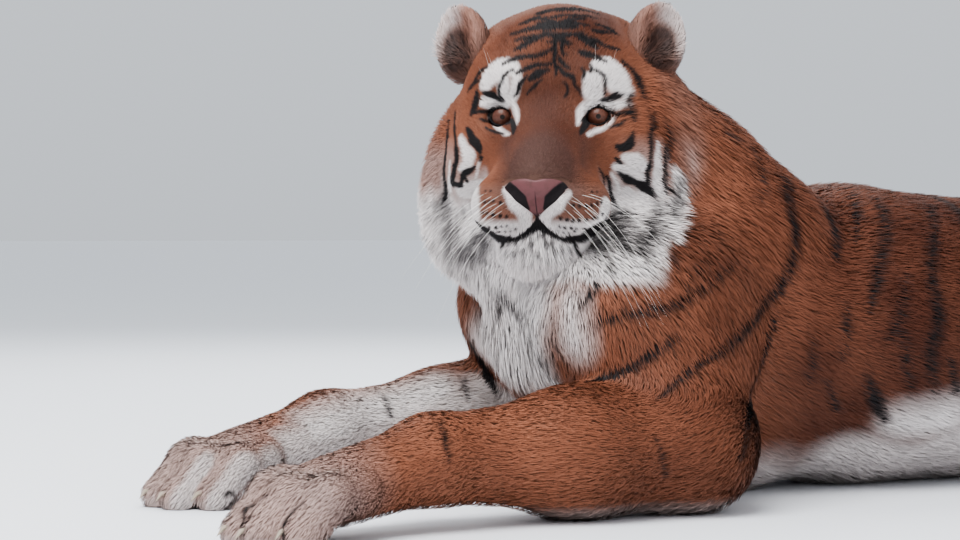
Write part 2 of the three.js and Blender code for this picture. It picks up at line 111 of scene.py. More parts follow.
def grid_quads(rows: int, columns: int, closed: bool = True) -> Array:
    """The quads between the points of a grid, row by row. A closed grid's rows are rings."""
    one = np.arange(columns if closed else columns - 1)
    start = np.arange(rows - 1)[:, None] * columns
    a, b = start + one, start + (one + 1) % columns
    return np.stack([a, a + columns, b + columns, b], -1).reshape(-1, 4)


def triangles(quads: Array) -> Array:
    """Each quad as two triangles."""
    return np.vstack([quads[:, [0, 1, 2]], quads[:, [0, 2, 3]]])


def turned(x: float, y: float, z: float) -> Array:
    """The matrix that turns by degrees about x, then y, then z."""
    (cx, cy, cz), (sx, sy, sz) = np.cos(np.radians([x, y, z])), np.sin(np.radians([x, y, z]))
    about_x = np.array([[1, 0, 0], [0, cx, -sx], [0, sx, cx]])
    about_y = np.array([[cy, 0, sy], [0, 1, 0], [-sy, 0, cy]])
    about_z = np.array([[cz, -sz, 0], [sz, cz, 0], [0, 0, 1]])
    return about_z @ about_y @ about_x


# ---- The coat's kinds ----


class Part(Enum):
    """The parts of the body whose hair is a coat piece, or several, of its own."""

    HEAD = 0
    NECK = 1
    TRUNK = 2
    FORELEG_LEFT = 3
    FORELEG_RIGHT = 4
    HINDLEG_LEFT = 5
    HINDLEG_RIGHT = 6
    TAIL = 7
    EAR = 8


def among(part: Array, *kinds: Part) -> Array:
    """Whether each part's number is that of one of these parts."""
    return np.isin(part, [kind.value for kind in kinds])


@dataclass(frozen=True)
class Hair:
    """How the hair grows on a lump of flesh.

    Args:
        depth: the coat's depth over the skin, mm.
        length: one blade's length, mm.
        width: one blade's width at its widest, mm.
        density: blades on a square centimetre.
    """

    depth: float
    length: float
    width: float
    density: float

    def row(self) -> list[float]:
        """The four sizes in order, for blending between lumps."""
        return [self.depth, self.length, self.width, self.density]


TRUNK_HAIR = Hair(9, 32, 1.6, 14)
BELLY_HAIR = Hair(14, 42, 1.6, 12)
NECK_HAIR = Hair(11, 36, 1.5, 17)
UPPER_LEG_HAIR = Hair(7, 24, 1.4, 13)
LEG_HAIR = Hair(5, 16, 1.2, 22)
PAW_HAIR = Hair(4, 11, 1.1, 26)
TAIL_HAIR = Hair(12, 34, 1.5, 17)
CROWN_HAIR = Hair(5, 8.5, 1.0, 42)
FACE_HAIR = Hair(3, 5.8, 0.75, 72)
MUZZLE_HAIR = Hair(2.5, 5, 0.7, 80)
NOSE_HAIR = Hair(1.0, 4, 0.6, 50)
RUFF_HAIR = Hair(12, 28, 1.1, 38)
MANE_HAIR = Hair(16, 42, 1.3, 30)
CHIN_HAIR = Hair(14, 34, 0.9, 46)
EAR_HAIR = Hair(3, 12, 1.2, 30)
EAR_TUFT = Hair(7, 22, 1.1, 30)
LID_HAIR = Hair(1.5, 6, 0.8, 60)


# ---- Lumps of flesh ----


@dataclass(frozen=True)
class Bar:
    """A tapered round bar of flesh from a to b, widened to the sides (along y) by a factor.

    Its hair lies along flow, or from a to b where flow is left out.
    """

    a: Place | Array
    b: Place | Array
    ra: float
    rb: float
    blend: float = 40
    widen: float = 1
    hair: Hair = TRUNK_HAIR
    flow: Place | None = None

    def distance(self, p: Array) -> Array:
        """The distance to the bar: to the nearest point of its middle line, less the radius there."""
        stretch = np.array([1, 1 / self.widen, 1])
        start = np.array(self.a)
        along = (np.array(self.b) - start) * stretch
        q = (p - start) * stretch
        t = np.clip(q @ along / (along @ along), 0, 1)
        return np.linalg.norm(q - t[:, None] * along, axis=1) - (self.ra + t * (self.rb - self.ra))

    def reach(self) -> tuple[Array, Array]:
        """The lowest and highest corner of the box round the bar."""
        ends = np.array([self.a, self.b])
        side = max(self.ra, self.rb) * np.array([1, self.widen, 1])
        return ends.min(0) - side, ends.max(0) + side

    def lie(self, p: Array) -> Array:
        """The way the hair lies at each point."""
        way = np.array(self.b) - np.array(self.a) if self.flow is None else np.array(self.flow, float)
        return np.broadcast_to(unit(way), p.shape)


@dataclass(frozen=True)
class Egg:
    """An ellipsoid of flesh, turned by degrees about x, y and z. Its hair lies along flow."""

    centre: Place
    radii: Place
    blend: float = 40
    turn: Place = (0, 0, 0)
    hair: Hair = TRUNK_HAIR
    flow: Place = (1, 0, -0.3)

    def distance(self, p: Array) -> Array:
        """The distance to the egg, to first order: s*(s - 1)/|gradient of s|, s the scaled distance."""
        q = (p - np.array(self.centre)) @ turned(*self.turn) / np.array(self.radii)
        size = np.linalg.norm(q, axis=1)
        steep = np.linalg.norm(q / np.array(self.radii), axis=1)
        return size * (size - 1) / np.maximum(steep, 1e-9)

    def reach(self) -> tuple[Array, Array]:
        """The lowest and highest corner of the box round the egg's round outline."""
        centre, side = np.array(self.centre), max(self.radii)
        return centre - side, centre + side

    def lie(self, p: Array) -> Array:
        """The way the hair lies at each point."""
        return np.broadcast_to(unit(np.array(self.flow, float)), p.shape)


Lump = Bar | Egg


class Form:
    """Lumps that melt into each other in order, less the hollows carved out of them.

    Args:
        lumps: each with the part of the body that it belongs to.
        hollows: eggs and bars of nothing, each with its own blend.
        mirrored: whether the form is the same on both sides of y = 0, and only the +y lumps are given.
    """

    # How far off a lump is still felt, the distance where none is, and how wide the middle is rounded, mm.
    MARGIN = 90.0
    FAR = 1000.0
    CREASE = 5.0

    def __init__(
        self, lumps: list[tuple[Part, Lump]], hollows: list[Lump] = (), mirrored: bool = False
    ) -> None:
        self.lumps = lumps
        self.hollows = list(hollows)
        self.mirrored = mirrored

    def folded(self, p: Array) -> Array:
        """A mirrored form's points on the +y side: y becomes sqrt(y*y + c*c) - c/2, with no crease."""
        if not self.mirrored:
            return p
        return np.column_stack([p[:, 0], np.sqrt(p[:, 1] ** 2 + self.CREASE**2) - self.CREASE / 2, p[:, 2]])

    def near(self, lump: Lump, p: Array) -> Array:
        """The indices of the points that are close enough to a lump to feel it."""
        low, high = lump.reach()
        return np.flatnonzero(np.all((p > low - self.MARGIN) & (p < high + self.MARGIN), axis=1))

    def distance(self, p: Array) -> Array:
        """The distance from each point to the form, below 0 inside."""
        q = self.folded(p)
        d = np.full(len(q), self.FAR)
        for _, lump in self.lumps:
            near = self.near(lump, q)
            d[near] = melt(d[near], lump.distance(q[near]) + lump.hair.depth, lump.blend)
        for hollow in self.hollows:
            near = self.near(hollow, q)
            d[near] = carve(d[near], hollow.distance(q[near]), hollow.blend)
        return d

    def shares(self, p: Array, spread: float) -> tuple[Array, Array, Array, Array]:
        """What the lumps say at each point, the nearer ones loudest: each weighs exp(-distance/spread).

        Returns:
            The weights' sum, the summed hair rows, the summed lie and the summed weight of each part.
        """
        side = np.sign(p[:, 1:2]) if self.mirrored else np.ones((len(p), 1))
        q = self.folded(p)
        total, hair = np.zeros(len(p)), np.zeros((len(p), 4))
        lie, parts = np.zeros((len(p), 3)), np.zeros((len(p), len(Part)))
        for part, lump in self.lumps:
            near = self.near(lump, q)
            weight = np.exp(-np.clip(lump.distance(q[near]) + lump.hair.depth, -60, 200) / spread)
            total[near] += weight
            hair[near] += weight[:, None] * np.array(lump.hair.row())
            same = np.ones((len(near), 1))
            way = lump.lie(q[near]) * np.hstack([same, side[near], same])
            lie[near] += weight[:, None] * way
            parts[near, part.value] += weight
        return total, hair, lie, parts


# ---- The animal's anatomy ----


def spline(points: list[Place] | Array, count: int) -> Array:
    """A smooth path through the points: a centripetal Catmull-Rom curve, resampled to equal steps."""
    p = np.array(points, float)
    p = np.vstack([2 * p[0] - p[1], p, 2 * p[-1] - p[-2]])
    fine = []
    for a, b, c, d in zip(p[:-3], p[1:-2], p[2:-1], p[3:]):
        knots = np.cumsum([0, *(np.linalg.norm(v - u) ** 0.5 for u, v in ((a, b), (b, c), (c, d)))])
        t = np.linspace(knots[1], knots[2], 24, endpoint=False)[:, None]

        def blend(u: Array, v: Array, i: int, j: int) -> Array:
            """The mean of two points or curves by where t lies between two knots."""
            return ((knots[j] - t) * u + (t - knots[i]) * v) / (knots[j] - knots[i])

        ab, bc, cd = blend(a, b, 0, 1), blend(b, c, 1, 2), blend(c, d, 2, 3)
        fine.append(blend(blend(ab, bc, 0, 2), blend(bc, cd, 1, 3), 1, 2))
    fine = np.vstack([*fine, p[-2]])
    run = runs(fine)
    where = np.linspace(0, run[-1], count)
    return np.column_stack([np.interp(where, run, fine[:, axis]) for axis in range(3)])


@dataclass(frozen=True)
class Paw:
    """A paw: the foot's back from its root to the knuckles, and four toes that fan out to the floor."""

    root: Place
    forward: Place
    length: float
    radius: float
    half: float = 50

    def at(self, reach: float, aside: float, height: float) -> Place:
        """The point so far ahead of the root, to the side of the middle line and above the floor."""
        fx, fy, _ = self.forward
        x, y, _ = self.root
        return (x + fx * reach - fy * aside, y + fy * reach + fx * aside, height)

    def toes(self) -> list[tuple[Place, Place, Place]]:
        """Each toe's base, knee and tip."""
        rows = []
        for place in (-1, -0.36, 0.36, 1):
            reach = self.length - self.radius - (30 if abs(place) > 0.5 else 0)
            aside = place * self.half
            rows.append((
                self.at(self.length * 0.48, aside * 0.8, 56),
                self.at(reach - 40, aside * 0.98, 52),
                self.at(reach, aside * 1.08, self.radius - 10),
            ))
        return rows

    def lumps(self) -> list[Lump]:
        """The paw's flesh."""
        knuckles = self.at(self.length * 0.5, 0, 53)
        made = [Bar(self.root, knuckles, self.root[2] - 32, 42, 30, 1.25, PAW_HAIR)]
        for base, knee, tip in self.toes():
            made.append(Bar(base, knee, self.radius, self.radius + 2, 16, 1, PAW_HAIR))
            made.append(Bar(knee, tip, self.radius + 2, self.radius, 12, 1, PAW_HAIR))
        return made


@dataclass(frozen=True)
class Foreleg:
    """A foreleg stretched ahead on the floor. The right one reaches a little less far and turns in."""

    side: int
    forearm: float = 345
    paw_length: float = 272

    @property
    def back(self) -> float:
        """How much further back than the left leg this one lies."""
        return 0 if self.side == LEFT else 38

    def ahead(self, degrees: float) -> Array:
        """The level direction that points ahead, turned towards the animal's middle by degrees."""
        turn = math.radians(degrees)
        return np.array([-math.cos(turn), -self.side * math.sin(turn), 0])

    def joints(self) -> tuple[Array, Array, Array, Array]:
        """The shoulder, the elbow, the wrist and the way the paw points."""
        shoulder = np.array([-232 + self.back, self.side * 142, 246])
        elbow = np.array([-178 + self.back, self.side * 220, 82])
        wrist = elbow + self.forearm * self.ahead(-1 if self.side == LEFT else 7)
        wrist[2] = 80
        return shoulder, elbow, wrist, self.ahead(-11 if self.side == LEFT else 15)

    def paw(self) -> Paw:
        """The forepaw."""
        _, _, wrist, forward = self.joints()
        return Paw(tuple(wrist), tuple(forward), self.paw_length, 25)

    def lumps(self) -> list[Lump]:
        """The leg's flesh, from the shoulder blade to the toes."""
        shoulder, elbow, wrist, _ = self.joints()
        middle = elbow + (wrist - elbow) * 0.45
        middle[2] = 79
        blade = (24 + self.back, self.side * 90, 338)
        down = (0.35, self.side * 0.1, -0.9)
        return [
            Bar(blade, shoulder, 68, 84, 60, 1, TRUNK_HAIR, (0.6, 0, -0.8)),
            Bar(shoulder, elbow, 92, 74, 60, 1, UPPER_LEG_HAIR, down),
            Egg((-152 + self.back, self.side * 172, 208), (96, 74, 136), 60, (0, 0, 0), UPPER_LEG_HAIR, down),
            Bar(elbow, middle, 82, 72, 50, 1, LEG_HAIR),
            Bar(middle, wrist, 72, 50, 50, 1, LEG_HAIR),
            *self.paw().lumps(),
        ]


@dataclass(frozen=True)
class Hindleg:
    """A hind leg folded beside the belly."""

    side: int
    foot_length: float = 305

    def paw(self) -> Paw:
        """The hind paw, whose root is ahead of the hock."""
        hock, forward = self.hock(), self.forward()
        root = hock + 95 * forward
        return Paw((root[0], root[1], 72), tuple(forward), self.foot_length - 95, 24)

    def hock(self) -> Array:
        """The point of the heel joint."""
        return np.array([925, self.side * 268, 58])

    def forward(self) -> Array:
        """The way the foot points."""
        return unit(np.array([-1, self.side * 0.04, 0]))

    def lumps(self) -> list[Lump]:
        """The leg's flesh, from the hip to the toes."""
        side, hock = self.side, self.hock()
        root = hock + 95 * self.forward()
        down = (0.55, 0, -0.8)
        hip, knee = (880, side * 100, 262), (600, side * 238, 146)
        return [
            Bar(hip, knee, 146, 94, 70, 1, UPPER_LEG_HAIR, down),
            Egg((792, side * 168, 192), (182, 92, 142), 70, (0, 0, 0), UPPER_LEG_HAIR, down),
            Bar(knee, hock, 82, 48, 50, 1, LEG_HAIR),
            Egg((956, side * 264, 56), (50, 38, 56), 30, (0, 0, 0), LEG_HAIR, (0, 0, -1)),
            Bar((hock[0], hock[1], 44), (root[0], root[1], 42), 46, 42, 30, 1.15, LEG_HAIR),
            *self.paw().lumps(),
        ]


@dataclass(frozen=True)
class Trunk:
    """The chest, barrel and rump along the spine.

    Args:
        back: height of the back above the floor.
        chest_half: half the chest's width behind the shoulders.
        belly_half: half the belly's width.
    """

    back: float = 402
    chest_half: float = 190
    belly_half: float = 215

    def lumps(self) -> list[Lump]:
        """The trunk's flesh, front to back."""
        spine = self.back / 2
        return [
            Bar((-190, 0, 236), (0, 0, 210), 142, 194, 20, 0.96, BELLY_HAIR, (0.2, 0, -1)),
            Bar((0, 0, 208), (200, 0, spine), 196, 200, 20, self.chest_half / 196, TRUNK_HAIR, (1, 0, -0.25)),
            Bar((200, 0, spine), (450, 0, 189), 204, 196, 20, 1.04, TRUNK_HAIR, (1, 0, -0.3)),
            Bar((450, 0, 189), (690, 0, 196), 196, 202, 20, self.belly_half / 200, TRUNK_HAIR, (1, 0, -0.35)),
            Bar((690, 0, 196), (880, 0, 210), 202, 182, 20, 1.03, TRUNK_HAIR, (1, 0, -0.35)),
            Bar((880, 0, 210), (1000, 0, 204), 182, 124, 20, 0.98, TRUNK_HAIR, (1, 0, -0.6)),
            Egg((-44, 0, 146), (160, 126, 158), 60, (0, 0, 0), BELLY_HAIR, (1, 0, -0.1)),
        ]


@dataclass(frozen=True)
class Neck:
    """The neck, from the withers to the skull and down the throat."""

    def lumps(self) -> list[Lump]:
        """The neck's flesh. Its hair lies back and down from the head."""
        return [
            Bar((40, 0, 240), (-72, -4, 356), 148, 142, 50, 1, NECK_HAIR, (0.75, 0, -0.65)),
            Bar((-72, -4, 356), (-186, -10, 450), 142, 138, 60, 1, NECK_HAIR, (0.62, 0, -0.78)),
            Bar((-80, 4, 262), (-215, -22, 372), 140, 118, 70, 1, NECK_HAIR, (0.3, 0, -0.95)),
            Egg((-258, -30, 330), (86, 96, 90), 60, (0, 0, 0), NECK_HAIR, (0, 0, -1)),
        ]


@dataclass(frozen=True)
class Tail:
    """The tail, lying on the floor and curling forward along the left side."""

    points: tuple[Place, ...] = (
        (1030, 0, 188), (1130, 6, 122), (1235, 16, 58), (1345, 0, 42), (1412, -90, 38),
        (1400, -215, 35), (1310, -320, 33), (1180, -385, 31), (1050, -412, 27),
    )
    steps: int = 30

    def radius(self, t: Array) -> Array:
        """The radius out to the hair tips, t from 0 at the root to 1 at the tip, which is drawn in."""
        return 56 - 22 * t - np.maximum(0, t - 0.93) * 150

    def path(self) -> Array:
        """The middle line's points."""
        return spline(list(self.points), self.steps + 1)

    def lumps(self) -> list[Lump]:
        """The tail's flesh, in short lengths."""
        line = [tuple(p) for p in self.path()]
        size = self.radius(np.linspace(0, 1, self.steps + 1))
        return [
            Bar(a, b, ra, rb, 12, 1, TAIL_HAIR) for a, b, ra, rb in zip(line, line[1:], size, size[1:])
        ]


# Half the nose leather's width, mm, at heights in the face's frame.
NOSE_EDGE = ((-129, -122, -118, -107, -97, -90, -84, -79), (0.5, 5, 10, 24.5, 33, 38, 41, 33))


@dataclass(frozen=True)
class Face:
    """The head's own frame, midway between the eyes: x out of the face, y to the animal's left, z up.

    Args:
        middle: the point midway between the eyes.
        turn: degrees from straight ahead to where the face points, to the animal's left.
        eye_side: from the face's middle line to each eye.
        eye_radius: the eyeball's radius.
    """

    middle: Place = (-290, -80, 486)
    turn: float = 54
    eye_side: float = 60
    eye_radius: float = 18.5

    @property
    def axes(self) -> Array:
        """The frame's three axes, as rows."""
        return turned(0, 0, self.turn + 180).T

    def into(self, p: Array) -> Array:
        """Points of the whole animal in the face's frame."""
        return (p - np.array(self.middle)) @ self.axes.T

    def out(self, q: Array) -> Array:
        """Points of the face's frame in the whole animal's."""
        return np.asarray(q, float) @ self.axes + np.array(self.middle)

    def lie(self, q: Array) -> Array:
        """The way the hair lies in the face's frame: away from the nose's tip, and down on the ruff."""
        away = unit(q - np.array([128, 0, -84]))
        ruff = ramp(q[:, 0], 10, -50) * ramp(q[:, 2], 10, -60)
        down = np.column_stack([np.full(len(q), -0.35), 0.35 * np.sign(q[:, 1]), np.full(len(q), -1.0)])
        return unit(away + 1.3 * ruff[:, None] * down)

    def opening(self, angle: Array) -> Array:
        """The radius of the opening between the lids, by the angle from its outer side, upwards, radians.

        It is an ellipse, drawn out at the inner corner, low beside the nose, and a little at the outer one.
        """
        turn = np.degrees(angle) % 360
        upper = np.sin(angle) > 0
        round_part = 1 / np.hypot(np.cos(angle) / 12.4, np.sin(angle) / np.where(upper, 9.6, 10.0))
        inner = 4.2 * np.exp(-(((turn - 212) / 17) ** 2))
        outer = 1.8 * np.exp(-(((turn - 12) / 15) ** 2))
        return round_part + inner + outer

    def past_lid(self, q: Array) -> Array:
        """How far outside the nearer eye's opening points are, seen from the front."""
        y, z = np.abs(q[:, 1]) - self.eye_side, q[:, 2] + 0.5
        gap = np.hypot(y, z) - self.opening(np.arctan2(z, y))
        return np.where(q[:, 0] > -30, gap, 100)

    def leather(self, q: Array) -> Array:
        """How far inside the nose leather's outline points are, mm, seen from the front."""
        edge = np.interp(q[:, 2], NOSE_EDGE[0], NOSE_EDGE[1])
        within = (q[:, 0] > 95) & (q[:, 2] > NOSE_EDGE[0][0]) & (q[:, 2] < NOSE_EDGE[0][-1])
        return np.where(within, edge - np.abs(q[:, 1]), -100)

    def bare(self, q: Array) -> Array:
        """Where no hair grows, 0 to 1: the eyes' rims, the nose's leather and the lips."""
        eyes = ramp(self.past_lid(q), 2.2, 0.7)
        nose = np.clip(self.leather(q) / 2, 0, 1)
        return np.maximum(eyes, nose)

    def lumps(self) -> list[Lump]:
        """The skull's flesh on the +y side, which the other side mirrors."""
        return [
            Egg((-95, 0, 58), (108, 94, 92), 40, hair=CROWN_HAIR),
            Egg((-62, 62, 28), (62, 54, 62), 40, hair=CROWN_HAIR),
            Egg((-112, 64, 78), (36, 44, 46), 40, hair=CROWN_HAIR),
            Egg((-26, 36, 32), (48, 46, 36), 30, hair=FACE_HAIR),
            Egg((-34, 78, -56), (62, 56, 64), 55, hair=FACE_HAIR),
            Egg((2, 40, -58), (56, 34, 50), 40, hair=FACE_HAIR),
            Bar((-12, 0, 4), (98, 0, -88), 38, 29, 30, 1.12, MUZZLE_HAIR),
            Egg((55, 0, -88), (78, 60, 54), 30, hair=MUZZLE_HAIR),
            Egg((88, 40, -112), (47, 43, 40), 20, hair=MUZZLE_HAIR),
            Egg((118, 0, -88), (24, 33, 24), 12, hair=NOSE_HAIR),
            Egg((-86, 102, -76), (54, 74, 118), 40, (12, 0, 0), RUFF_HAIR),
            Egg((-74, 86, -142), (54, 66, 64), 40, hair=MANE_HAIR),
            Egg((-62, 0, -150), (84, 108, 66), 50, hair=MANE_HAIR),
            Bar((52, 20, -156), (-60, 62, -124), 36, 50, 40, 1, CHIN_HAIR),
            Egg((66, 0, -158), (46, 48, 40), 30, hair=CHIN_HAIR),
        ]

    def hollows(self) -> list[Lump]:
        """What is carved out: the eye's bowl, the nostril, the groove under the nose and the mouth."""
        mouth = [
            (134, 0, -131), (132, 14, -142), (122, 30, -150), (100, 52, -149), (68, 70, -138), (30, 80, -124),
        ]
        lips = [Bar(a, b, 4.5, 4.5, 5) for a, b in zip(mouth, mouth[1:])]
        nostril = [(136, 40, -85), (140, 29, -94), (143, 19, -103), (142, 10, -115)]
        holes = [Bar(a, b, ra, rb, 4) for a, b, ra, rb in zip(nostril, nostril[1:], (2, 8, 8), (8, 8, 2))]
        return [
            Egg((24, self.eye_side + 1, -1), (20, 20, 16), 6),
            Bar((150, 0, -106), (142, 0, -131), 3, 4, 4),
            *holes,
            *lips,
        ]


class Tiger:
    """The whole animal's flesh under the coat: its body, and its head in the face's own frame."""

    # How softly the head melts into the neck, and over how far the lumps' hair mixes, mm.
    HEAD_BLEND = 50.0
    SPREAD = 9.0

    def __init__(self) -> None:
        self.face = Face()
        self.tail = Tail()
        self.forelegs = {side: Foreleg(side) for side in (LEFT, RIGHT)}
        self.hindlegs = {side: Hindleg(side) for side in (LEFT, RIGHT)}
        members = [
            (Part.TRUNK, Trunk()), (Part.NECK, Neck()),
            (Part.FORELEG_LEFT, self.forelegs[LEFT]), (Part.FORELEG_RIGHT, self.forelegs[RIGHT]),
            (Part.HINDLEG_LEFT, self.hindlegs[LEFT]), (Part.HINDLEG_RIGHT, self.hindlegs[RIGHT]),
            (Part.TAIL, self.tail),
        ]
        self.body = Form([(part, lump) for part, member in members for lump in member.lumps()])
        skull = [(Part.HEAD, lump) for lump in self.face.lumps()]
        self.head = Form(skull, self.face.hollows(), mirrored=True)

    def paws(self) -> list[Paw]:
        """The four paws."""
        return [leg.paw() for leg in (*self.forelegs.values(), *self.hindlegs.values())]

    def distance(self, p: Array) -> Array:
        """The distance from each point to the skin, below 0 inside."""
        q = self.face.into(p)
        blend = 4 + self.HEAD_BLEND * ramp(q[:, 0], -25, -100)
        return melt(self.body.distance(p), self.head.distance(q), blend)

    def cast(self, start: Array, way: Array) -> Array:
        """Where lines from outside, along one way or one each, meet the skin: by steps of its distance."""
        p = start.astype(float)
        for _ in range(60):
            p = p + np.clip(self.distance(p) * 0.8, 0, 40)[:, None] * way
        return p

    def growth(self, p: Array) -> tuple[Array, Array, Array]:
        """The hair's sizes, the way it lies and the parts' weights at points of the skin."""
        q = self.face.into(p)
        one, hair, lie, parts = self.body.shares(p, self.SPREAD)
        two, head_hair, _, head_parts = self.head.shares(q, self.SPREAD)
        head_lie = self.face.lie(q) @ self.face.axes
        total = np.maximum(one + two, 1e-12)[:, None]
        return (hair + head_hair) / total, lie + two[:, None] * head_lie, (parts + head_parts) / total


Field = Callable[[Array], Array]


def slope(field: Field, p: Array, d: Array) -> Array:
    """A field's gradient at points where its value is d, by a difference of 0.5 mm along each axis."""
    step = 0.5
    return np.column_stack([(field(p + step * axis) - d) / step for axis in np.eye(3)])


def settle(field: Field, p: Array, rounds: int = 2, reach: float = 6) -> Array:
    """Points moved onto the field's zero surface along its gradient, each round by the reach at most."""
    for _ in range(rounds):
        d = field(p)
        steep = slope(field, p, d)
        move = -(d / np.maximum((steep**2).sum(1), 0.05))[:, None] * steep
        size = np.linalg.norm(move, axis=1, keepdims=True)
        p = p + move * np.minimum(1, reach / np.maximum(size, 1e-9))
    return p


@dataclass
class Net:
    """A net of triangles over a field's zero surface, finest where finer edges are wanted.

    Args:
        field: the distance to the surface at points, below 0 inside.
        low, high: the corners of the box that holds the surface.
        pitch: the first net's lattice step, mm.
        wanted: the longest edge wanted at points.
        rounds: how often long edges are split.
    """

    field: Field
    low: Array
    high: Array
    pitch: float
    wanted: Field
    rounds: int = 3

    def __post_init__(self) -> None:
        self.points, self.faces = self.first_net()
        self.points = settle(self.field, self.points)
        for _ in range(self.rounds):
            self.split_long_edges()
            self.relax()

    def lattice_values(self, shape: tuple[int, ...]) -> Array:
        """The field on the lattice: every third point first, then only the points close to the surface."""
        coarse_shape = [math.ceil(n / 3) for n in shape]
        steps = np.stack(np.meshgrid(*[np.arange(n) * 3 + 1 for n in coarse_shape], indexing="ij"), -1)
        coarse = self.field(self.low + steps.reshape(-1, 3) * self.pitch).reshape(coarse_shape)
        values = coarse.repeat(3, 0).repeat(3, 1).repeat(3, 2)[: shape[0], : shape[1], : shape[2]].copy()
        close = np.argwhere(np.abs(values) < self.pitch * 4.5)
        values[tuple(close.T)] = self.field(self.low + close * self.pitch)
        return values

    def first_net(self) -> tuple[Array, Array]:
        """The surface net: one point in each cell that the surface crosses, the mean of its edges' crossings,
        and one quad round each lattice edge that the surface cuts."""
        shape = tuple(np.ceil((self.high - self.low) / self.pitch).astype(int) + 1)
        values = self.lattice_values(shape)
        inside = values < 0
        corners = np.stack(np.meshgrid([0, 1], [0, 1], [0, 1], indexing="ij"), -1).reshape(-1, 3)
        spans = [slice(0, -1), slice(1, None)]
        count = sum(inside[spans[a], spans[b], spans[c]].astype(np.int8) for a, b, c in corners)
        cells = np.argwhere((count > 0) & (count < 8))
        number = np.full(count.shape, -1)
        number[tuple(cells.T)] = np.arange(len(cells))
        total, hits = np.zeros((len(cells), 3)), np.zeros((len(cells), 1))
        for a in corners:
            for b in corners[(corners >= a).all(1) & (np.abs(corners - a).sum(1) == 1)]:
                da, db = values[tuple((cells + a).T)], values[tuple((cells + b).T)]
                cut = (da < 0) != (db < 0)
                t = (da[cut] / (da[cut] - db[cut]))[:, None]
                total[cut] += a + t * (b - a)
                hits[cut] += 1
        points = self.low + (cells + total / hits) * self.pitch
        quads = []
        axes = np.eye(3, dtype=int)
        for axis in range(3):
            ahead, one, two = axes[axis], axes[(axis + 1) % 3], axes[(axis + 2) % 3]
            lower = inside[tuple(slice(0, n - a) for n, a in zip(shape, ahead))]
            upper = inside[tuple(slice(a, None) for a in ahead)]
            starts = np.argwhere(lower != upper)
            starts = starts[(starts[:, (axis + 1) % 3] > 0) & (starts[:, (axis + 2) % 3] > 0)]
            ring = [starts - one - two, starts - two, starts, starts - one]
            quad = np.column_stack([number[tuple(r.T)] for r in ring])
            leaving = inside[tuple(starts.T)]
            quads.append(np.where(leaving[:, None], quad, quad[:, ::-1]))
        return points, triangles(np.vstack(quads))

    def split_long_edges(self) -> None:
        """Halves every edge that is longer than wanted, and divides the triangles on it to match."""
        sides = np.sort(self.faces[:, [[0, 1], [1, 2], [2, 0]]].reshape(-1, 2), axis=1)
        edges, which = np.unique(sides, axis=0, return_inverse=True)
        which = which.reshape(-1, 3)
        a, b = self.points[edges[:, 0]], self.points[edges[:, 1]]
        middle = (a + b) / 2
        long = np.linalg.norm(a - b, axis=1) > 1.35 * self.wanted(middle)
        fresh = np.full(len(edges), -1)
        fresh[long] = len(self.points) + np.arange(long.sum())
        self.points = np.vstack([self.points, middle[long]])
        halves, done = fresh[which], []
        split = (halves >= 0).sum(1)
        for shift in range(3):
            turn = [shift, (shift + 1) % 3, (shift + 2) % 3]
            (p, q, r), (pq, qr, rp) = self.faces[:, turn].T, halves[:, turn].T
            one = (split == 1) & (pq >= 0)
            done += [np.column_stack(t)[one] for t in ((p, pq, r), (pq, q, r))]
            two = (split == 2) & (rp < 0)
            done += [np.column_stack(t)[two] for t in ((pq, q, qr), (p, pq, qr), (p, qr, r))]
        (p, q, r), (pq, qr, rp) = self.faces.T, halves.T
        whole = split == 3
        done += [np.column_stack(t)[whole] for t in ((p, pq, rp), (pq, q, qr), (rp, qr, r), (pq, qr, rp))]
        self.faces = np.vstack([self.faces[split == 0], *done])

    def relax(self) -> None:
        """Evens the net out: each point moves halfway to its neighbours' mean, and back onto the surface."""
        ends = np.stack([self.faces[:, [0, 1, 2]].ravel(), self.faces[:, [1, 2, 0]].ravel()])
        total, hits = np.zeros_like(self.points), np.zeros(len(self.points))
        for a, b in (ends, ends[::-1]):
            for axis in range(3):
                total[:, axis] += np.bincount(a, self.points[b, axis], len(self.points))
            hits += np.bincount(a, minlength=len(self.points))
        self.points += 0.5 * (total / hits[:, None] - self.points)
        self.points = settle(self.field, self.points)


@dataclass(frozen=True)
class Ear:
    """A round ear: the shell left of an egg by a smaller one carved out of its front.

    Args:
        side: LEFT or RIGHT.
        centre, radii: the outer egg in the face's frame, on the +y side.
        hollow, hollow_radii: the egg carved out.
        turn: degrees about x, y and z, on the +y side.
    """

    side: int
    centre: Place = (-86, 124, 96)
    radii: Place = (25, 40, 52)
    hollow: Place = (-62, 137, 108)
    hollow_radii: Place = (26, 28, 40)
    turn: Place = (-16, -6, 28)

    def placed(self, p: Array, face: Face) -> Array:
        """Points of the whole animal in the face's frame, on the +y side."""
        return face.into(p) * np.array([1, -self.side, 1])

    def bowl(self, q: Array) -> Array:
        """The distance to the egg that is carved out, in the face's frame."""
        return Egg(self.hollow, self.hollow_radii, 8, self.turn).distance(q)

    def distance(self, p: Array, face: Face) -> Array:
        """The distance to the ear's skin."""
        q = self.placed(p, face)
        shell = Egg(self.centre, self.radii, 8, self.turn).distance(q) + EAR_HAIR.depth
        return carve(shell, self.bowl(q) - EAR_HAIR.depth / 2, 7)

    def net(self, face: Face) -> Net:
        """The ear's skin as a net of its own."""
        middle = face.out(np.array(self.centre) * [1, -self.side, 1])
        return Net(
            lambda p: self.distance(p, face), middle - 80, middle + 80, 4.0, lambda p: np.full(len(p), 4.2), 1
        )


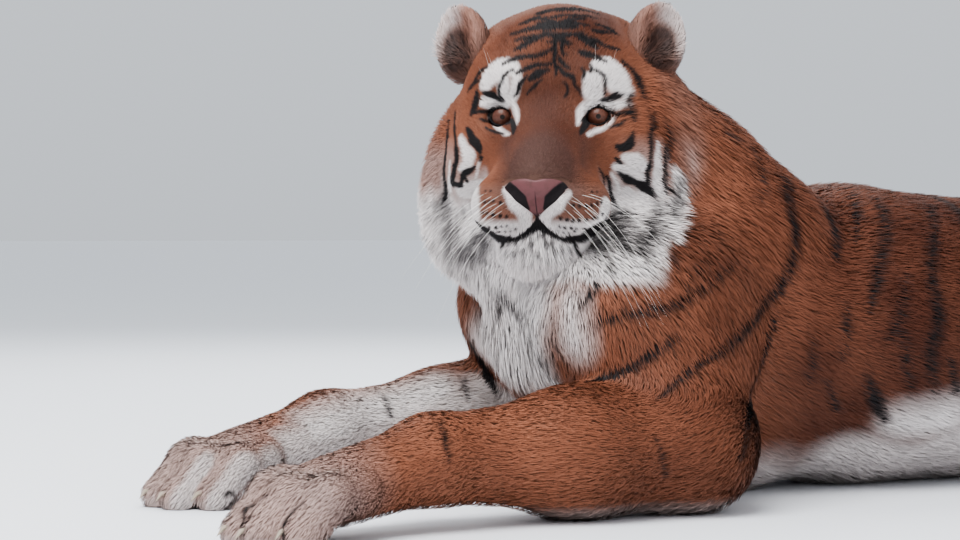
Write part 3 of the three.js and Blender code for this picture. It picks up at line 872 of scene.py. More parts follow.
class Skin:
    """The whole skin as one net, the two ears on it, and what grows on each of its points.

    Args:
        tiger: the flesh to be covered.
    """

    # The corners of the box that is searched for the skin, and the lowest that the skin lies, mm.
    LOW = np.array([-830.0, -470.0, -30.0])
    HIGH = np.array([1500.0, 390.0, 660.0])
    FLOOR = 0.4

    def __init__(self, tiger: Tiger) -> None:
        self.tiger = tiger
        body = Net(tiger.distance, self.LOW, self.HIGH, 11.0, self.edge_length)
        self.points, self.faces = body.points, body.faces
        self.hair, self.lie, self.parts = tiger.growth(self.points)
        for side in (LEFT, RIGHT):
            self.add_ear(Ear(side))
            self.add_lids(side)
        self.points[:, 2] = np.maximum(self.points[:, 2], self.FLOOR)
        self.normals = self.point_normals()
        self.lie = unit(flattened(self.lie, self.normals))

    def edge_length(self, p: Array) -> Array:
        """The longest edge that is wanted at each point: fine on the face, middling on the paws and head."""
        q = self.tiger.face.into(p)
        from_face = np.linalg.norm((q - [50, 0, -60]) / [1.1, 1, 1.15], axis=1)
        fine = 2.6 + np.maximum(0, from_face - 95) * 0.06
        paws = [np.array(paw.at(paw.length * 0.75, 0, 30)) for paw in self.tiger.paws()]
        from_paw = np.min([np.linalg.norm(p - paw, axis=1) for paw in paws], axis=0)
        return np.minimum(np.minimum(fine, 5.0 + np.maximum(0, from_paw - 90) * 0.06), 11.5)

    def add_patch(self, points: Array, faces: Array, hair: Array, lie: Array, part: Part) -> None:
        """Joins more skin to the net, all of one part."""
        self.faces = np.vstack([self.faces, faces + len(self.points)])
        self.points = np.vstack([self.points, points])
        self.hair = np.vstack([self.hair, np.broadcast_to(hair, (len(points), 4))])
        self.lie = np.vstack([self.lie, np.broadcast_to(lie, (len(points), 3))])
        self.parts = np.vstack([self.parts, np.tile(np.eye(len(Part))[part.value], (len(points), 1))])

    def add_ear(self, ear: Ear) -> None:
        """Joins an ear. Its hair lies from its root to its rim, and is long inside the shell."""
        face = self.tiger.face
        net = ear.net(face)
        q = face.into(net.points)
        inner = np.clip(2 - ear.bowl(ear.placed(net.points, face)) / 3, 0, 1)
        low = ramp(q[:, 2], 112, 82) * inner
        hair = np.array(EAR_HAIR.row()) + low[:, None] * (np.array(EAR_TUFT.row()) - EAR_HAIR.row())
        rise = np.array([-0.25, -ear.side * 0.3, 1.0]) @ face.axes
        across = np.array([0.5, -ear.side * 0.8, 0.5]) @ face.axes
        self.add_patch(net.points, net.faces, hair, rise + low[:, None] * (across - rise), Part.EAR)

    def add_lids(self, side: int, count: int = 96) -> None:
        """Joins the lids of one eye: rings from inside the opening's edge over the rim and out to the face.

        Ring by ring, the distance from the opening's edge and the radius of the ball that the ring lies on,
        or 0 where it lies on the face. The rings between are as far from the ball as from the face.
        """
        face = self.tiger.face
        angle = np.linspace(0, 2 * math.pi, count, endpoint=False)
        axis = unit(np.array([1, -side * 0.04 + 0.03, 0.0]))
        out_way = unit(np.cross(np.array([0, 0, 1]), axis)) * -side
        up_way = np.cross(axis, out_way) * -side
        ring_way = np.cos(angle)[:, None] * out_way + np.sin(angle)[:, None] * up_way
        centre = np.array([0, -side * face.eye_side, 0])
        edge = face.opening(angle)
        rings = []
        for past, ball, share in (
            (-0.6, 17.4, 0), (0, 18.9, 0), (0.7, 20.1, 0), (2.0, 20.9, 0), (3.6, 21.0, 0.1),
            (5.4, 21.0, 0.35), (7.4, 21.2, 0.65), (9.6, 21.2, 0.88), (12, 21.2, 1),
        ):
            across = (edge + past)[:, None]
            plane = centre + ring_way * across
            rise = np.sqrt(np.maximum(ball**2 - across**2, 1))
            on_ball = plane + axis * rise
            start = face.out(plane + axis * 70)
            on_face = face.into(self.tiger.cast(start, -axis @ face.axes))
            rings.append(on_ball + share * (on_face - on_ball) - axis * (1.2 if share == 1 else 0))
        points = face.out(np.vstack(rings))
        quads = grid_quads(len(rings), count)
        faces = triangles(quads[:, [0, 3, 2, 1] if side == LEFT else [1, 2, 3, 0]])
        away = np.vstack([ring_way] * len(rings))
        lie = unit(face.lie(np.vstack(rings)) + 0.8 * away) @ face.axes
        self.add_patch(points, faces, np.array(LID_HAIR.row()), lie, Part.HEAD)

    def point_normals(self) -> Array:
        """Each point's normal: the sum of the normals of the triangles round it, by their areas."""
        a, b, c = (self.points[self.faces[:, i]] for i in range(3))
        across = np.cross(b - a, c - a)
        total = np.zeros_like(self.points)
        for corner in range(3):
            for axis in range(3):
                total[:, axis] += np.bincount(self.faces[:, corner], across[:, axis], len(self.points))
        return unit(total)


# ---- Meshes ----


def new_piece(
    name: str, points: Array, faces: Array, uv: Array | None = None, layers: dict[str, Array] | None = None
) -> Piece:
    """A smooth mesh object at the origin.

    Args:
        name: the piece's name.
        points: its points, mm.
        faces: its triangles' or quads' point numbers.
        uv: a texture place for each point, for the OFBake map.
        layers: named values for each point: one number, three for a vector or four for a colour.

    Returns:
        The object, linked into the scene.
    """
    sides = faces.shape[1]
    mesh = bpy.data.meshes.new(name)
    mesh.vertices.add(len(points))
    mesh.vertices.foreach_set("co", (points * MM).astype(np.float32).ravel())
    mesh.loops.add(faces.size)
    mesh.loops.foreach_set("vertex_index", faces.astype(np.int32).ravel())
    mesh.polygons.add(len(faces))
    mesh.polygons.foreach_set("loop_start", np.arange(0, faces.size, sides, dtype=np.int32))
    mesh.polygons.foreach_set("use_smooth", np.ones(len(faces), bool))
    if uv is not None:
        layer = mesh.uv_layers.new(name="OFBake")
        layer.data.foreach_set("uv", uv[faces.ravel()].astype(np.float32).ravel())
    for key, values in (layers or {}).items():
        kind, slot = {1: ("FLOAT", "value"), 3: ("FLOAT_VECTOR", "vector"), 4: ("FLOAT_COLOR", "color")}[
            1 if values.ndim == 1 else values.shape[1]
        ]
        attribute = mesh.attributes.new(key, kind, "POINT")
        attribute.data.foreach_set(slot, values.astype(np.float32).ravel())
    mesh.update(calc_edges=True)
    made = bpy.data.objects.new(name, mesh)
    bpy.context.scene.collection.objects.link(made)
    return made


def dressed(piece: Piece, material: Material) -> Piece:
    """The piece with its material and its place on the body."""
    piece.data.materials.append(material)
    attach(piece, "root")
    LOG.info("%s: %d faces", piece.name, len(piece.data.polygons))
    return piece


# ---- The coat ----


def hashed(cells: Array, salt: float) -> Array:
    """A number from 0 to 1 for each lattice cell, the same each time: frac(sin(c.k) * 43758)."""
    return np.modf(np.abs(np.sin(cells @ np.array([12.99, 78.23, 37.72]) + salt) * 43758.5453))[0]


def wave(p: Array, size: float, salt: float) -> Array:
    """A smooth wobble from -1 to 1: the mean of three sines along slanted directions."""
    ways = np.array([[1, 0.4, 0.3], [-0.3, 1, 0.5], [0.5, -0.4, 1.0]])
    return np.sin(p @ ways.T * (2 * math.pi / size) + salt * np.array([1.0, 2.3, 4.1])).mean(1)


class Blades:
    """The coat: flat tapering blades of hair rooted in the skin, leaning the way the coat lies.

    Args:
        skin: the skin they stand on.
        markings: what colours them.
        amount: the share of the full number of blades that is grown.
    """

    # Half the width of a blade's patch on the OFBake map.
    PATCH = 0.0015
    # The most blades in one piece of three triangles each.
    LIMIT = 62000
    # No blade's point is lower than this, mm.
    FLOOR = 0.6
    # A blade's width at its root, as a share of its widest.
    ROOT = 0.7
    # How far along the hair its middle points take their colour.
    MIDDLE = 0.55

    def __init__(self, skin: Skin, markings: "Markings", amount: float = 0.93) -> None:
        self.skin = skin
        self.markings = markings
        self.rng = np.random.default_rng(7)
        self.sow(amount)
        self.shape()

    def sow(self, amount: float) -> None:
        """Chooses the roots: on each triangle its area times the density there, at random places."""
        skin, rng = self.skin, self.rng
        corners = skin.points[skin.faces]
        across = np.cross(corners[:, 1] - corners[:, 0], corners[:, 2] - corners[:, 0])
        area = np.linalg.norm(across, axis=1) / 200
        middle = corners.mean(1)
        down = across[:, 2] / np.maximum(np.linalg.norm(across, axis=1), 1e-9)
        density = skin.hair[skin.faces][:, :, 3].mean(1) * self.cover(middle, down)
        count = np.floor(area * density * amount + rng.random(len(area))).astype(int)
        tri = np.repeat(np.arange(len(count)), count)
        u, v = rng.random(len(tri)), rng.random(len(tri))
        over = u + v > 1
        u[over], v[over] = 1 - u[over], 1 - v[over]
        weights = np.column_stack([1 - u - v, u, v])

        def mixed(values: Array) -> Array:
            """The skin's values at the roots."""
            return (values[skin.faces[tri]] * weights[:, :, None]).sum(1)

        self.root, self.normal = mixed(skin.points), unit(mixed(skin.normals))
        self.hair, self.part = mixed(skin.hair), mixed(skin.parts).argmax(1)
        self.lie = unit(flattened(mixed(skin.lie), self.normal))

    def cover(self, p: Array, down: Array) -> Array:
        """The share of the blades that grow: few under the animal, none where the skin is bare."""
        under = np.clip((-down - 0.5) * 4, 0, 1) * ramp(p[:, 2], 45, 25)
        face = self.skin.tiger.face
        return (1 - 0.75 * under) * (1 - face.bare(face.into(p)))

    def shape(self) -> None:
        """Works out each blade's three points along its middle line, its width, its marks and its tone."""
        rng, root, normal = self.rng, self.root, self.normal
        depth, length, width, _ = self.hair.T
        length = length * rng.uniform(0.75, 1.2, len(root)) * (1 + 0.12 * wave(root, 170, 1.0))
        size = (4 + 0.22 * length)[:, None]
        lock = np.floor((root + 3 * rng.normal(size=root.shape)) / size)
        turn = 0.24 * (hashed(lock, 0.3) - 0.5) + 0.12 * wave(root, 120, 2.0)
        turn += 0.08 * rng.normal(size=len(root))
        side = np.cross(normal, self.lie)
        way = unit(np.cos(turn)[:, None] * self.lie + np.sin(turn)[:, None] * side)
        height = depth * (0.8 + 0.35 * hashed(lock, 0.7)) * rng.uniform(0.8, 1.15, len(root))
        rise, fall = np.clip(1.5 * height / length, 0, 0.92), np.clip(0.5 * height / length, 0, 0.6)
        half = (length / 2)[:, None]
        middle = root + half * (np.sqrt(1 - rise**2)[:, None] * way + rise[:, None] * normal)
        tip = middle + half * (np.sqrt(1 - fall**2)[:, None] * way + fall[:, None] * normal)
        pull = flattened((lock + 0.5) * size - root, normal)
        pull *= np.clip(length / 90, 0.08, 0.45)[:, None]
        self.line = np.stack([root - normal, middle + 0.3 * pull, tip + pull], 1)
        across = np.cross(way, normal)
        twist = rng.uniform(-0.6, 0.6, len(root))[:, None]
        across = np.cos(twist) * across + np.sin(twist) * normal
        self.across = across * (width * rng.uniform(0.8, 1.2, len(root)) / 2)[:, None]
        flat = [root + flattened(place - root, normal) for place in (middle, tip)]
        self.marks = np.stack([self.markings.at(place, normal, self.part) for place in flat], 1)
        self.tone = 1 + 0.06 * rng.normal(size=len(root)) + 0.07 * (hashed(lock, 1.9) - 0.5)

    def pieces(self, material: Material, face: Material) -> None:
        """Makes the coat's pieces, part by part and in shares under the limit, along the part.

        Args:
            material: the body's hair.
            face: the head's and ears' hair.
        """
        slots = {Part.HEAD: ("face", face), Part.EAR: ("face", face)}
        for part in Part:
            mine = np.flatnonzero(self.part == part.value)
            uv = Unwrap.of(part, self.skin.tiger).places(self.root[mine])
            order = np.argsort(uv[:, 0])
            mine, uv = mine[order], uv[order]
            shares = max(1, math.ceil(len(mine) / self.LIMIT))
            for i in range(shares):
                cut = slice(i * len(mine) // shares, (i + 1) * len(mine) // shares)
                name = f"coat_{part.name.lower()}" + (f"_{i + 1}" if shares > 1 else "")
                slot, finish = slots.get(part, ("coat", material))
                dressed(self.piece(name, mine[cut], uv[cut]), finish)

    def piece(self, name: str, mine: Array, uv: Array) -> Piece:
        """One piece of the coat: five points and three triangles for each blade."""
        line, across = self.line[mine], self.across[mine]
        points = np.stack([
            line[:, 0] - self.ROOT * across, line[:, 0] + self.ROOT * across,
            line[:, 1] - across, line[:, 1] + across, line[:, 2],
        ], 1)
        points[:, :, 2] = np.maximum(points[:, :, 2], self.FLOOR)
        faces = np.arange(len(mine))[:, None, None] * 5 + np.array([[0, 1, 3], [0, 3, 2], [2, 3, 4]])
        spots = self.PATCH * np.array([[-1, -1], [1, -1], [-1, 0.4], [1, 0.4], [0, 1.0]])
        uv = np.clip(uv, 2 * self.PATCH, 1 - 2 * self.PATCH)[:, None] + spots
        marks = self.marks[mine][:, [0, 0, 0, 0, 1]]
        along = np.broadcast_to(np.array([0, 0, self.MIDDLE, self.MIDDLE, 1.0]), marks.shape[:2])
        layers = {
            "marks": np.concatenate([marks[:, :, :3], along[:, :, None]], 2).reshape(-1, 4),
            # The ground's depth, with painted shade on the flanks and painted light on the forelegs.
            "shade": marks[:, :, 3].ravel(),
            "tone": np.repeat(self.tone[mine], 5),
            "lean": np.repeat(self.normal[mine], 5, 0),
        }
        return new_piece(name, points.reshape(-1, 3), faces.reshape(-1, 3), uv.reshape(-1, 2), layers)


@dataclass(frozen=True)
class Unwrap:
    """A flat map of a part: how far along its middle line a point is, and at which angle round it."""

    path: tuple[Place, ...]
    up: Place = (0, 0, 1)

    @classmethod
    def of(cls, part: Part, tiger: Tiger) -> "Unwrap":
        """The map of one part of the animal."""
        if part in (Part.HEAD, Part.EAR):
            return cls(tuple(tuple(tiger.face.out(q)) for q in ((-190, 0, -30), (150, 0, -60))))
        if part in (Part.FORELEG_LEFT, Part.FORELEG_RIGHT):
            leg = tiger.forelegs[LEFT if part is Part.FORELEG_LEFT else RIGHT]
            _, elbow, wrist, forward = leg.joints()
            return cls((tuple(elbow + [90, 0, 0]), tuple(wrist), tuple(wrist + forward * leg.paw_length)))
        if part in (Part.HINDLEG_LEFT, Part.HINDLEG_RIGHT):
            side = LEFT if part is Part.HINDLEG_LEFT else RIGHT
            return cls(((1000, side * 210, 90), (500, side * 240, 70)))
        if part is Part.TAIL:
            return cls(tuple(tuple(point) for point in tiger.tail.path()))
        if part is Part.NECK:
            return cls(((80, 0, 220), (-280, -20, 440)))
        return cls(((-300, 0, 200), (1080, 0, 200)))

    def places(self, p: Array) -> Array:
        """The map's two numbers, each from 0 to 1, at points."""
        path = np.array(self.path, float)
        step = np.diff(path, axis=0)
        size, run = np.linalg.norm(step, axis=1), runs(path)
        best, out = np.full(len(p), np.inf), np.zeros((len(p), 2))
        for i, way in enumerate(step / size[:, None]):
            t = np.clip((p - path[i]) @ way, 0, size[i])
            away = p - path[i] - t[:, None] * way
            gap = np.linalg.norm(away, axis=1)
            side = unit(np.cross(way, self.up))
            angle = np.arctan2(away @ side, away @ np.cross(side, way))
            nearer = gap < best
            best[nearer] = gap[nearer]
            out[nearer] = np.column_stack([(run[i] + t) / run[-1], angle / (2 * math.pi) + 0.5])[nearer]
        return out


# ---- Strokes ----


def drawn(*lines: str) -> list[Array]:
    """Strokes from lines of text: x, y, z and width at each point, mm, with commas between the points."""
    return [np.array([point.split() for point in line.split(",")], float) for line in lines]


# The black bars of the crown, brows and cheeks: x, y, z and width in the face's frame, mm.
FACE_BLACK = drawn(
    "-39 -20 129 6, -44 -2 133 10, -51 17 135 10, -64 34 135 7, -76 50 131 4",
    "-28 -9 123 3, -31 12 125 4, -41 32 126 4, -57 50 124 2",
    "-41 51 115 3, -52 65 110 7, -57 77 103 3",
    "-32 -41 116 3, -30 -29 120 6, -31 -17 124 4",
    "-16 -97 44 3, -14 -90 54 6, -10 -80 63 2",
    "21 48 -11 4, 39 48 -14 6, 46 45 -20 5, 53 43 -26 1",
    "35 -43 -6 3, 42 -40 -11 5, 48 -38 -18 5, 55 -38 -25 2",
    "-18 -32 108 4, -15 -17 111 7, -12 -3 109 6, -14 12 111 7, -20 30 111 4",
    "-20 -18 115 3, -17 2 115 6, -21 20 116 6, -31 43 113 3",
    "-13 -44 94 2, -9 -31 98 4, -7 -20 99 3",
    "-10 36 96 2, -17 52 94 6, -20 64 87 3",
    "0 -3 92 2, -1 6 93 4, -2 17 92 4, -3 25 89 2",
    "-32 -34 119 3, -27 -19 121 5, -22 -4 119 5, -21 13 117 5, -28 24 121 4, -39 37 122 3",
    "-25 -51 103 3, -19 -37 106 5, -14 -20 109 3",
    "-13 -20 108 3, -15 -8 112 5, -16 7 113 5, -16 16 112 4",
    "-8 -8 104 3, -5 3 101 5, -5 13 99 8, -9 24 101 5, -13 31 103 2",
    "-6 -23 96 3, -6 -12 100 4, -6 -2 102 5",
    "-5 -45 82 3, -5 -35 88 7, -4 -24 93 7, -4 -12 98 5, -6 -2 102 3",
    "-10 25 102 4, -14 38 99 8, -12 48 90 9, -12 57 84 3",
    "-27 48 107 3, -34 57 106 5, -47 69 105 2",
    "-20 63 88 2, -23 71 85 4, -30 81 82 2",
    "-3 7 96 4, 2 6 87 3, 7 7 74 3, 11 9 61 3, 16 9 49 1",
    "3 6 85 3, 5 -1 79 4, 6 -9 77 4, 5 -25 74 5, 4 -42 71 6, 2 -59 65 3",
    "-1 16 91 3, 3 14 81 3, 5 21 75 2",
    "0 36 78 2, -1 47 75 7, -2 57 71 7, -4 69 66 2",
    "9 4 66 2, 10 -10 63 4, 12 -22 60 5, 13 -32 57 5, 16 -40 53 2",
    "11 0 57 3, 14 -11 53 7, 17 -18 49 8, 19 -24 45 3",
    "17 -8 44 1, 21 -17 37 3, 24 -24 27 1",
    "18 -27 49 1, 21 -34 40 4, 23 -37 30 3, 22 -42 23 1",
    "7 12 73 2, 11 18 63 3, 13 27 58 2",
    "11 11 61 2, 15 19 53 4, 18 29 48 5, 20 34 42 2",
    "20 19 41 1, 23 25 34 2, 26 23 22 1",
    "21 31 41 1, 22 38 33 2, 22 42 23 1",
    "13 40 57 2, 15 45 52 3, 18 44 45 1",
    "7 49 63 1, 9 54 58 3, 13 51 53 1",
    "9 55 57 2, 8 63 53 3, 9 68 46 3, 11 70 37 2, 13 69 27 1",
    "12 -45 57 2, 13 -53 52 3, 15 -59 43 3, 16 -62 34 3, 17 -60 26 2, 19 -55 19 2",
    "5 -82 31 3, 11 -73 28 7, 15 -64 24 5, 18 -58 19 2",
    "15 66 20 2, 10 75 22 5, 5 83 24 8, 1 89 25 3",
    "-4 -91 32 3, -1 -91 21 8, 0 -94 11 9, 1 -98 3 4",
    "1 -98 3 3, 8 -85 6 3, 10 -77 6 3, 10 -68 10 3",
    "-8 97 27 3, -3 97 14 6, -1 101 2 8, 3 104 -9 3",
    "10 79 6 3, 10 86 0 3, 1 98 3 4",
    "-21 87 68 3, -25 96 58 5, -28 104 45 10, -27 108 33 8, -24 110 21 2",
    "-7 -87 47 2, -15 -97 41 5, -22 -105 33 3",
    "-44 -123 8 2, -32 -124 -6 4, -9 -120 -21 3, 4 -117 -36 4, 10 -115 -53 7, 3 -120 -69 7, "
    "-11 -124 -83 8",
    "-54 -133 -4 2, -37 -134 -26 6, -26 -134 -47 8, -31 -137 -68 9, -37 -135 -90 6, -44 -139 -108 2",
    "8 -102 -15 3, 18 -95 -27 9, 27 -86 -38 9, 31 -83 -45 3",
    "30 -84 -50 2, 33 -80 -53 4, 32 -83 -56 2",
    "-10 -124 -82 6, 6 -110 -84 6",
    "6 -110 -85 3, 14 -107 -73 6, 22 -98 -68 6, 27 -90 -62 2",
    "16 -106 -70 4, 16 -102 -79 4",
    "-27 122 6 2, -20 123 -9 7, -9 122 -26 6, -2 124 -44 5, 2 123 -59 6, 2 120 -72 5",
    "-37 138 -7 2, -35 143 -26 7, -27 140 -43 5, -23 140 -62 5, -20 139 -82 5, -18 141 -98 2",
    "11 102 -23 3, 17 102 -34 10, 24 92 -41 7, 28 84 -38 3",
    "31 84 -53 2, 29 87 -57 5, 27 91 -60 2",
    "28 87 -70 2, 20 96 -77 8, 11 107 -81 5, 2 114 -84 9, -9 124 -95 8, -9 128 -105 2",
    "2 121 -69 4, -3 119 -83 7",
    "38 73 -76 2, 28 76 -87 4, 19 77 -102 4, 18 87 -117 2",
    "52 65 -67 1, 43 69 -76 2, 38 70 -85 1",
    "-20 140 -91 2, -24 149 -96 3, -25 158 -104 2",
    "-15 141 -107 1, -7 150 -120 4, 11 154 -132 1",
    "32 132 -139 1, 48 130 -150 6, 66 123 -163 3, 73 119 -168 1",
    "106 37 -147 4, 100 41 -150 5, 91 41 -158 4, 81 48 -176 2",
    "92 -50 -150 3, 100 -45 -149 7, 90 -45 -155 3, 82 -46 -160 2",
    "12 -86 -4 1, 13 -81 -6 3, 10 -72 -10 2",
    "23 77 -17 1, 16 87 -12 2, 9 94 -8 1",
    "21 -78 -15 1, 34 -63 -21 2, 46 -50 -24 1",
)
# The rows of dark spots that the whiskers grow from.
FACE_DOTS = drawn(
    "124 -66 -108 2, 130 -53 -108 2, 133 -38 -110 2",
    "122 -67 -120 2, 130 -49 -123 3, 128 -31 -125 2",
    "111 -66 -136 2, 121 -48 -137 2, 122 -31 -134 2",
    "114 -51 -141 2, 113 -35 -142 2, 114 -22 -137 1",
    "132 42 -114 2, 129 57 -113 2, 110 78 -109 2",
    "126 27 -127 3, 127 44 -130 3, 122 61 -128 3, 110 76 -122 2",
    "118 24 -134 2, 119 40 -139 3, 115 58 -138 3, 108 69 -135 2",
    "111 21 -139 1, 112 33 -143 2, 114 47 -142 2",
    "120 -64 -96 1, 126 -54 -95 1",
    "121 63 -96 1, 111 73 -98 1",
)
# The white patches of the brows, eyelids, cheeks, muzzle, chin and ruff.
FACE_WHITE = drawn(
    "30 85 -64 10, 22 97 -70 17, 9 112 -77 18, 0 115 -85 11",
    "-19 147 -105 11, 2 156 -128 15, 34 152 -145 15",
    "15 57 46 18, 17 60 34 18, 17 61 25 13",
    "16 -56 43 17, 18 -56 33 16, 19 -55 23 11",
    "3 -78 43 23, 4 -69 55 33, 7 -54 61 26, 15 -41 54 15",
    "8 -80 19 15, 14 -67 16 15, 21 -49 18 14, 22 -42 30 13, 19 -39 44 13",
    "5 60 60 19, 0 71 58 33, -1 83 44 37, -2 90 30 23",
    "16 50 48 10, 19 50 37 15, 20 52 25 15, 15 64 16 15, 8 82 12 15, 0 93 14 8",
    "9 -76 -2 3, 9 -71 -9 5, 40 -54 -20 5, 51 -45 -25 4",
    "13 82 -5 4, 20 73 -15 5, 36 61 -20 6, 45 52 -25 4",
    "23 -44 18 6, 30 -38 5 7, 39 -35 -5 5, 45 -36 -12 2",
    "18 53 13 13, 29 41 3 11, 39 40 -8 6, 44 39 -13 3",
    "5 -111 -24 6, 16 -105 -39 14, 23 -98 -53 20, 16 -108 -65 11",
    "-2 -125 -57 6, -15 -128 -76 9, -26 -129 -87 14",
    "-4 -112 -94 20, 104 -80 -113 40, -6 -94 -122 15",
    "31 -84 -58 4, 22 -87 -83 5, 120 -70 -111 4",
    "24 97 -54 13, 16 108 -59 23, 8 117 -63 13",
    "-18 130 -35 6, -13 130 -54 15, -13 130 -73 16, -14 133 -97 17",
    "12 95 -92 16, 6 107 -114 29, 31 108 -135 28, 38 96 -137 20",
    "-8 136 -115 23, 23 144 -137 27, 55 141 -159 24",
    "-31 152 -70 12, -28 158 -99 19, 7 161 -132 20, 43 157 -154 20",
    "32 79 -73 5, 24 84 -84 6, 15 87 -96 8",
    "131 -35 -95 10, 133 -27 -108 15, 124 -15 -124 17, 116 -17 -133 17",
    "131 39 -96 7, 131 26 -113 14, 121 11 -125 17, 112 12 -134 17",
    "117 -31 -139 19, 117 -49 -140 17, 112 -65 -136 11",
    "114 34 -141 23, 114 56 -140 23, 103 73 -133 26, 102 80 -118 29",
    "87 -40 -163 15, 99 -23 -159 23, 101 -2 -159 25, 99 21 -160 23, 90 32 -167 15",
    "80 -33 -175 39, 84 -4 -181 51, 86 34 -195 23",
    "-24 -112 -135 33, -13 -92 -156 64, -12 -72 -179 94",
    "89 66 -141 35, 91 79 -181 49, 76 110 -168 54, 73 135 -175 35",
    "-40 -133 -110 24, -37 -127 -135 31",
    "99 69 -195 33, 96 103 -190 38, 75 135 -177 26",
)
# The greyer brown down the bridge of the nose.
FACE_BROWN = drawn(
    "81 4 -29 27, 101 5 -42 73, 121 5 -56 101, 137 4 -72 101",
    "63 -45 -37 15, 112 -34 -63 22",
    "59 48 -38 15, 91 49 -63 21",
)
# The body's stripes as strokes over the shoulder, flank, chest and legs: x, y, z and width, mm.
BODY_BLACK = drawn(
    "-674 53 3 6, -661 55 14 5, -758 -252 56 2",
    "-782 -296 17 6, -769 -266 38 7, -752 -290 55 3",
    "-746 -324 14 8, -739 -315 32 6, -722 -318 50 3",
    "25 -127 405 14, 13 -156 369 15, 12 -169 330 15, 0 -175 297 14, -18 -179 272 13, -40 -186 256 13, "
    "-93 -226 225 12, -127 -242 206 10, -194 -265 177 8, -247 -271 143 4",
    "-11 -104 444 5, -16 -137 405 6, -35 -160 373 3",
    "-101 -209 307 3, -139 -232 285 6, -177 -242 267 9, -216 -246 250 11, -247 -240 245 10, "
    "-275 -228 240 8, -293 -215 234 8, -301 -206 226 4",
    "-211 -253 215 4, -242 -247 194 10, -265 -236 178 11, -296 -220 164 16, -314 -219 161 9",
    "-139 -225 302 2, -172 -234 291 6, -198 -240 274 2",
    "-294 -209 274 8, -307 -200 256 10, -313 -193 245 4",
    "91 -119 367 19, 90 -144 335 18, 79 -161 303 8",
    "182 -63 389 5, 147 -121 354 9, 125 -146 325 5",
    "202 -87 380 6, 184 -132 350 12, 154 -164 309 12, 132 -181 268 11, 117 -186 236 4",
    "179 -182 284 4, 161 -196 236 10, 142 -195 199 4",
    "293 -82 372 7, 244 -154 325 13, 217 -183 284 14, 215 -201 226 17, 203 -201 177 15, 218 -191 135 6",
    "119 -184 158 7, 136 -177 125 21, 157 -169 100 11",
    "56 -176 155 4, 83 -162 117 9",
    "236 -200 176 8, 252 -190 134 12",
    "-51 -112 459 12, -27 -105 453 5",
    "-26 -182 240 5, -40 -185 203 10, -63 -190 160 10, -135 -287 114 11, -154 -301 71 7",
    "-267 -292 100 3, -251 -290 56 5",
    "-532 -260 121 5, -534 -280 99 6, -534 -285 83 4",
    "-410 156 123 4, -411 145 112 7, -411 138 100 6",
    "-297 152 142 4, -299 140 130 7, -302 131 116 4",
    "-330 -20 269 5, -322 -46 255 13, -318 -68 238 13, -323 -102 231 4",
    "-273 157 190 15, -261 150 161 16, -260 140 136 12, -251 133 121 5",
    "-326 -37 261 5, -321 -9 237 7",
    "-323 -148 216 4, -316 -156 202 6, -307 -131 185 3",
    "83 -177 253 5, 84 -183 216 9, 75 -181 179 5",
    "26 -183 217 3, 32 -181 181 8, 27 -174 150 3",
    "162 -199 215 4, 168 -198 172 9, 179 -191 138 4",
)
# The white of the chest, the right foreleg's inner side and the belly's edge.
BODY_WHITE = drawn(
    "-328 -118 258 89, -311 -66 218 117, -305 -18 183 80",
    "-320 -3 234 39, -276 120 191 40",
    "-316 -186 259 28, -309 -185 208 36",
    "-334 146 129 61, -425 141 106 68, -520 118 86 65",
    "177 -170 96 47, 255 -172 99 63",
)

# ---- Markings ----


class Ink(Enum):
    """What a stroke paints, as its place among the marks."""

    BLACK = 0
    WHITE = 1
    BROWN = 2


@dataclass(frozen=True)
class Stroke:
    """A painted line on the skin.

    Args:
        ink: what it paints.
        rows: x, y, z and width at each point, mm.
        soft: how far its edge fades, mm.
    """

    ink: Ink
    rows: Array
    soft: float

    def spans(self, step: float = 7.0) -> Array:
        """The smooth line in short spans: each row has both ends' x, y, z and width."""
        rows = self.rows if len(self.rows) > 1 else np.vstack([self.rows, self.rows + [0, 0, 0.5, 0]])
        run = runs(rows[:, :3])
        count = max(2, int(run[-1] / step) + 2)
        line = spline(rows[:, :3], count)
        width = np.interp(np.linspace(0, run[-1], count), run, rows[:, 3])
        line = np.column_stack([line, width])
        return np.column_stack([line[:-1], line[1:]])


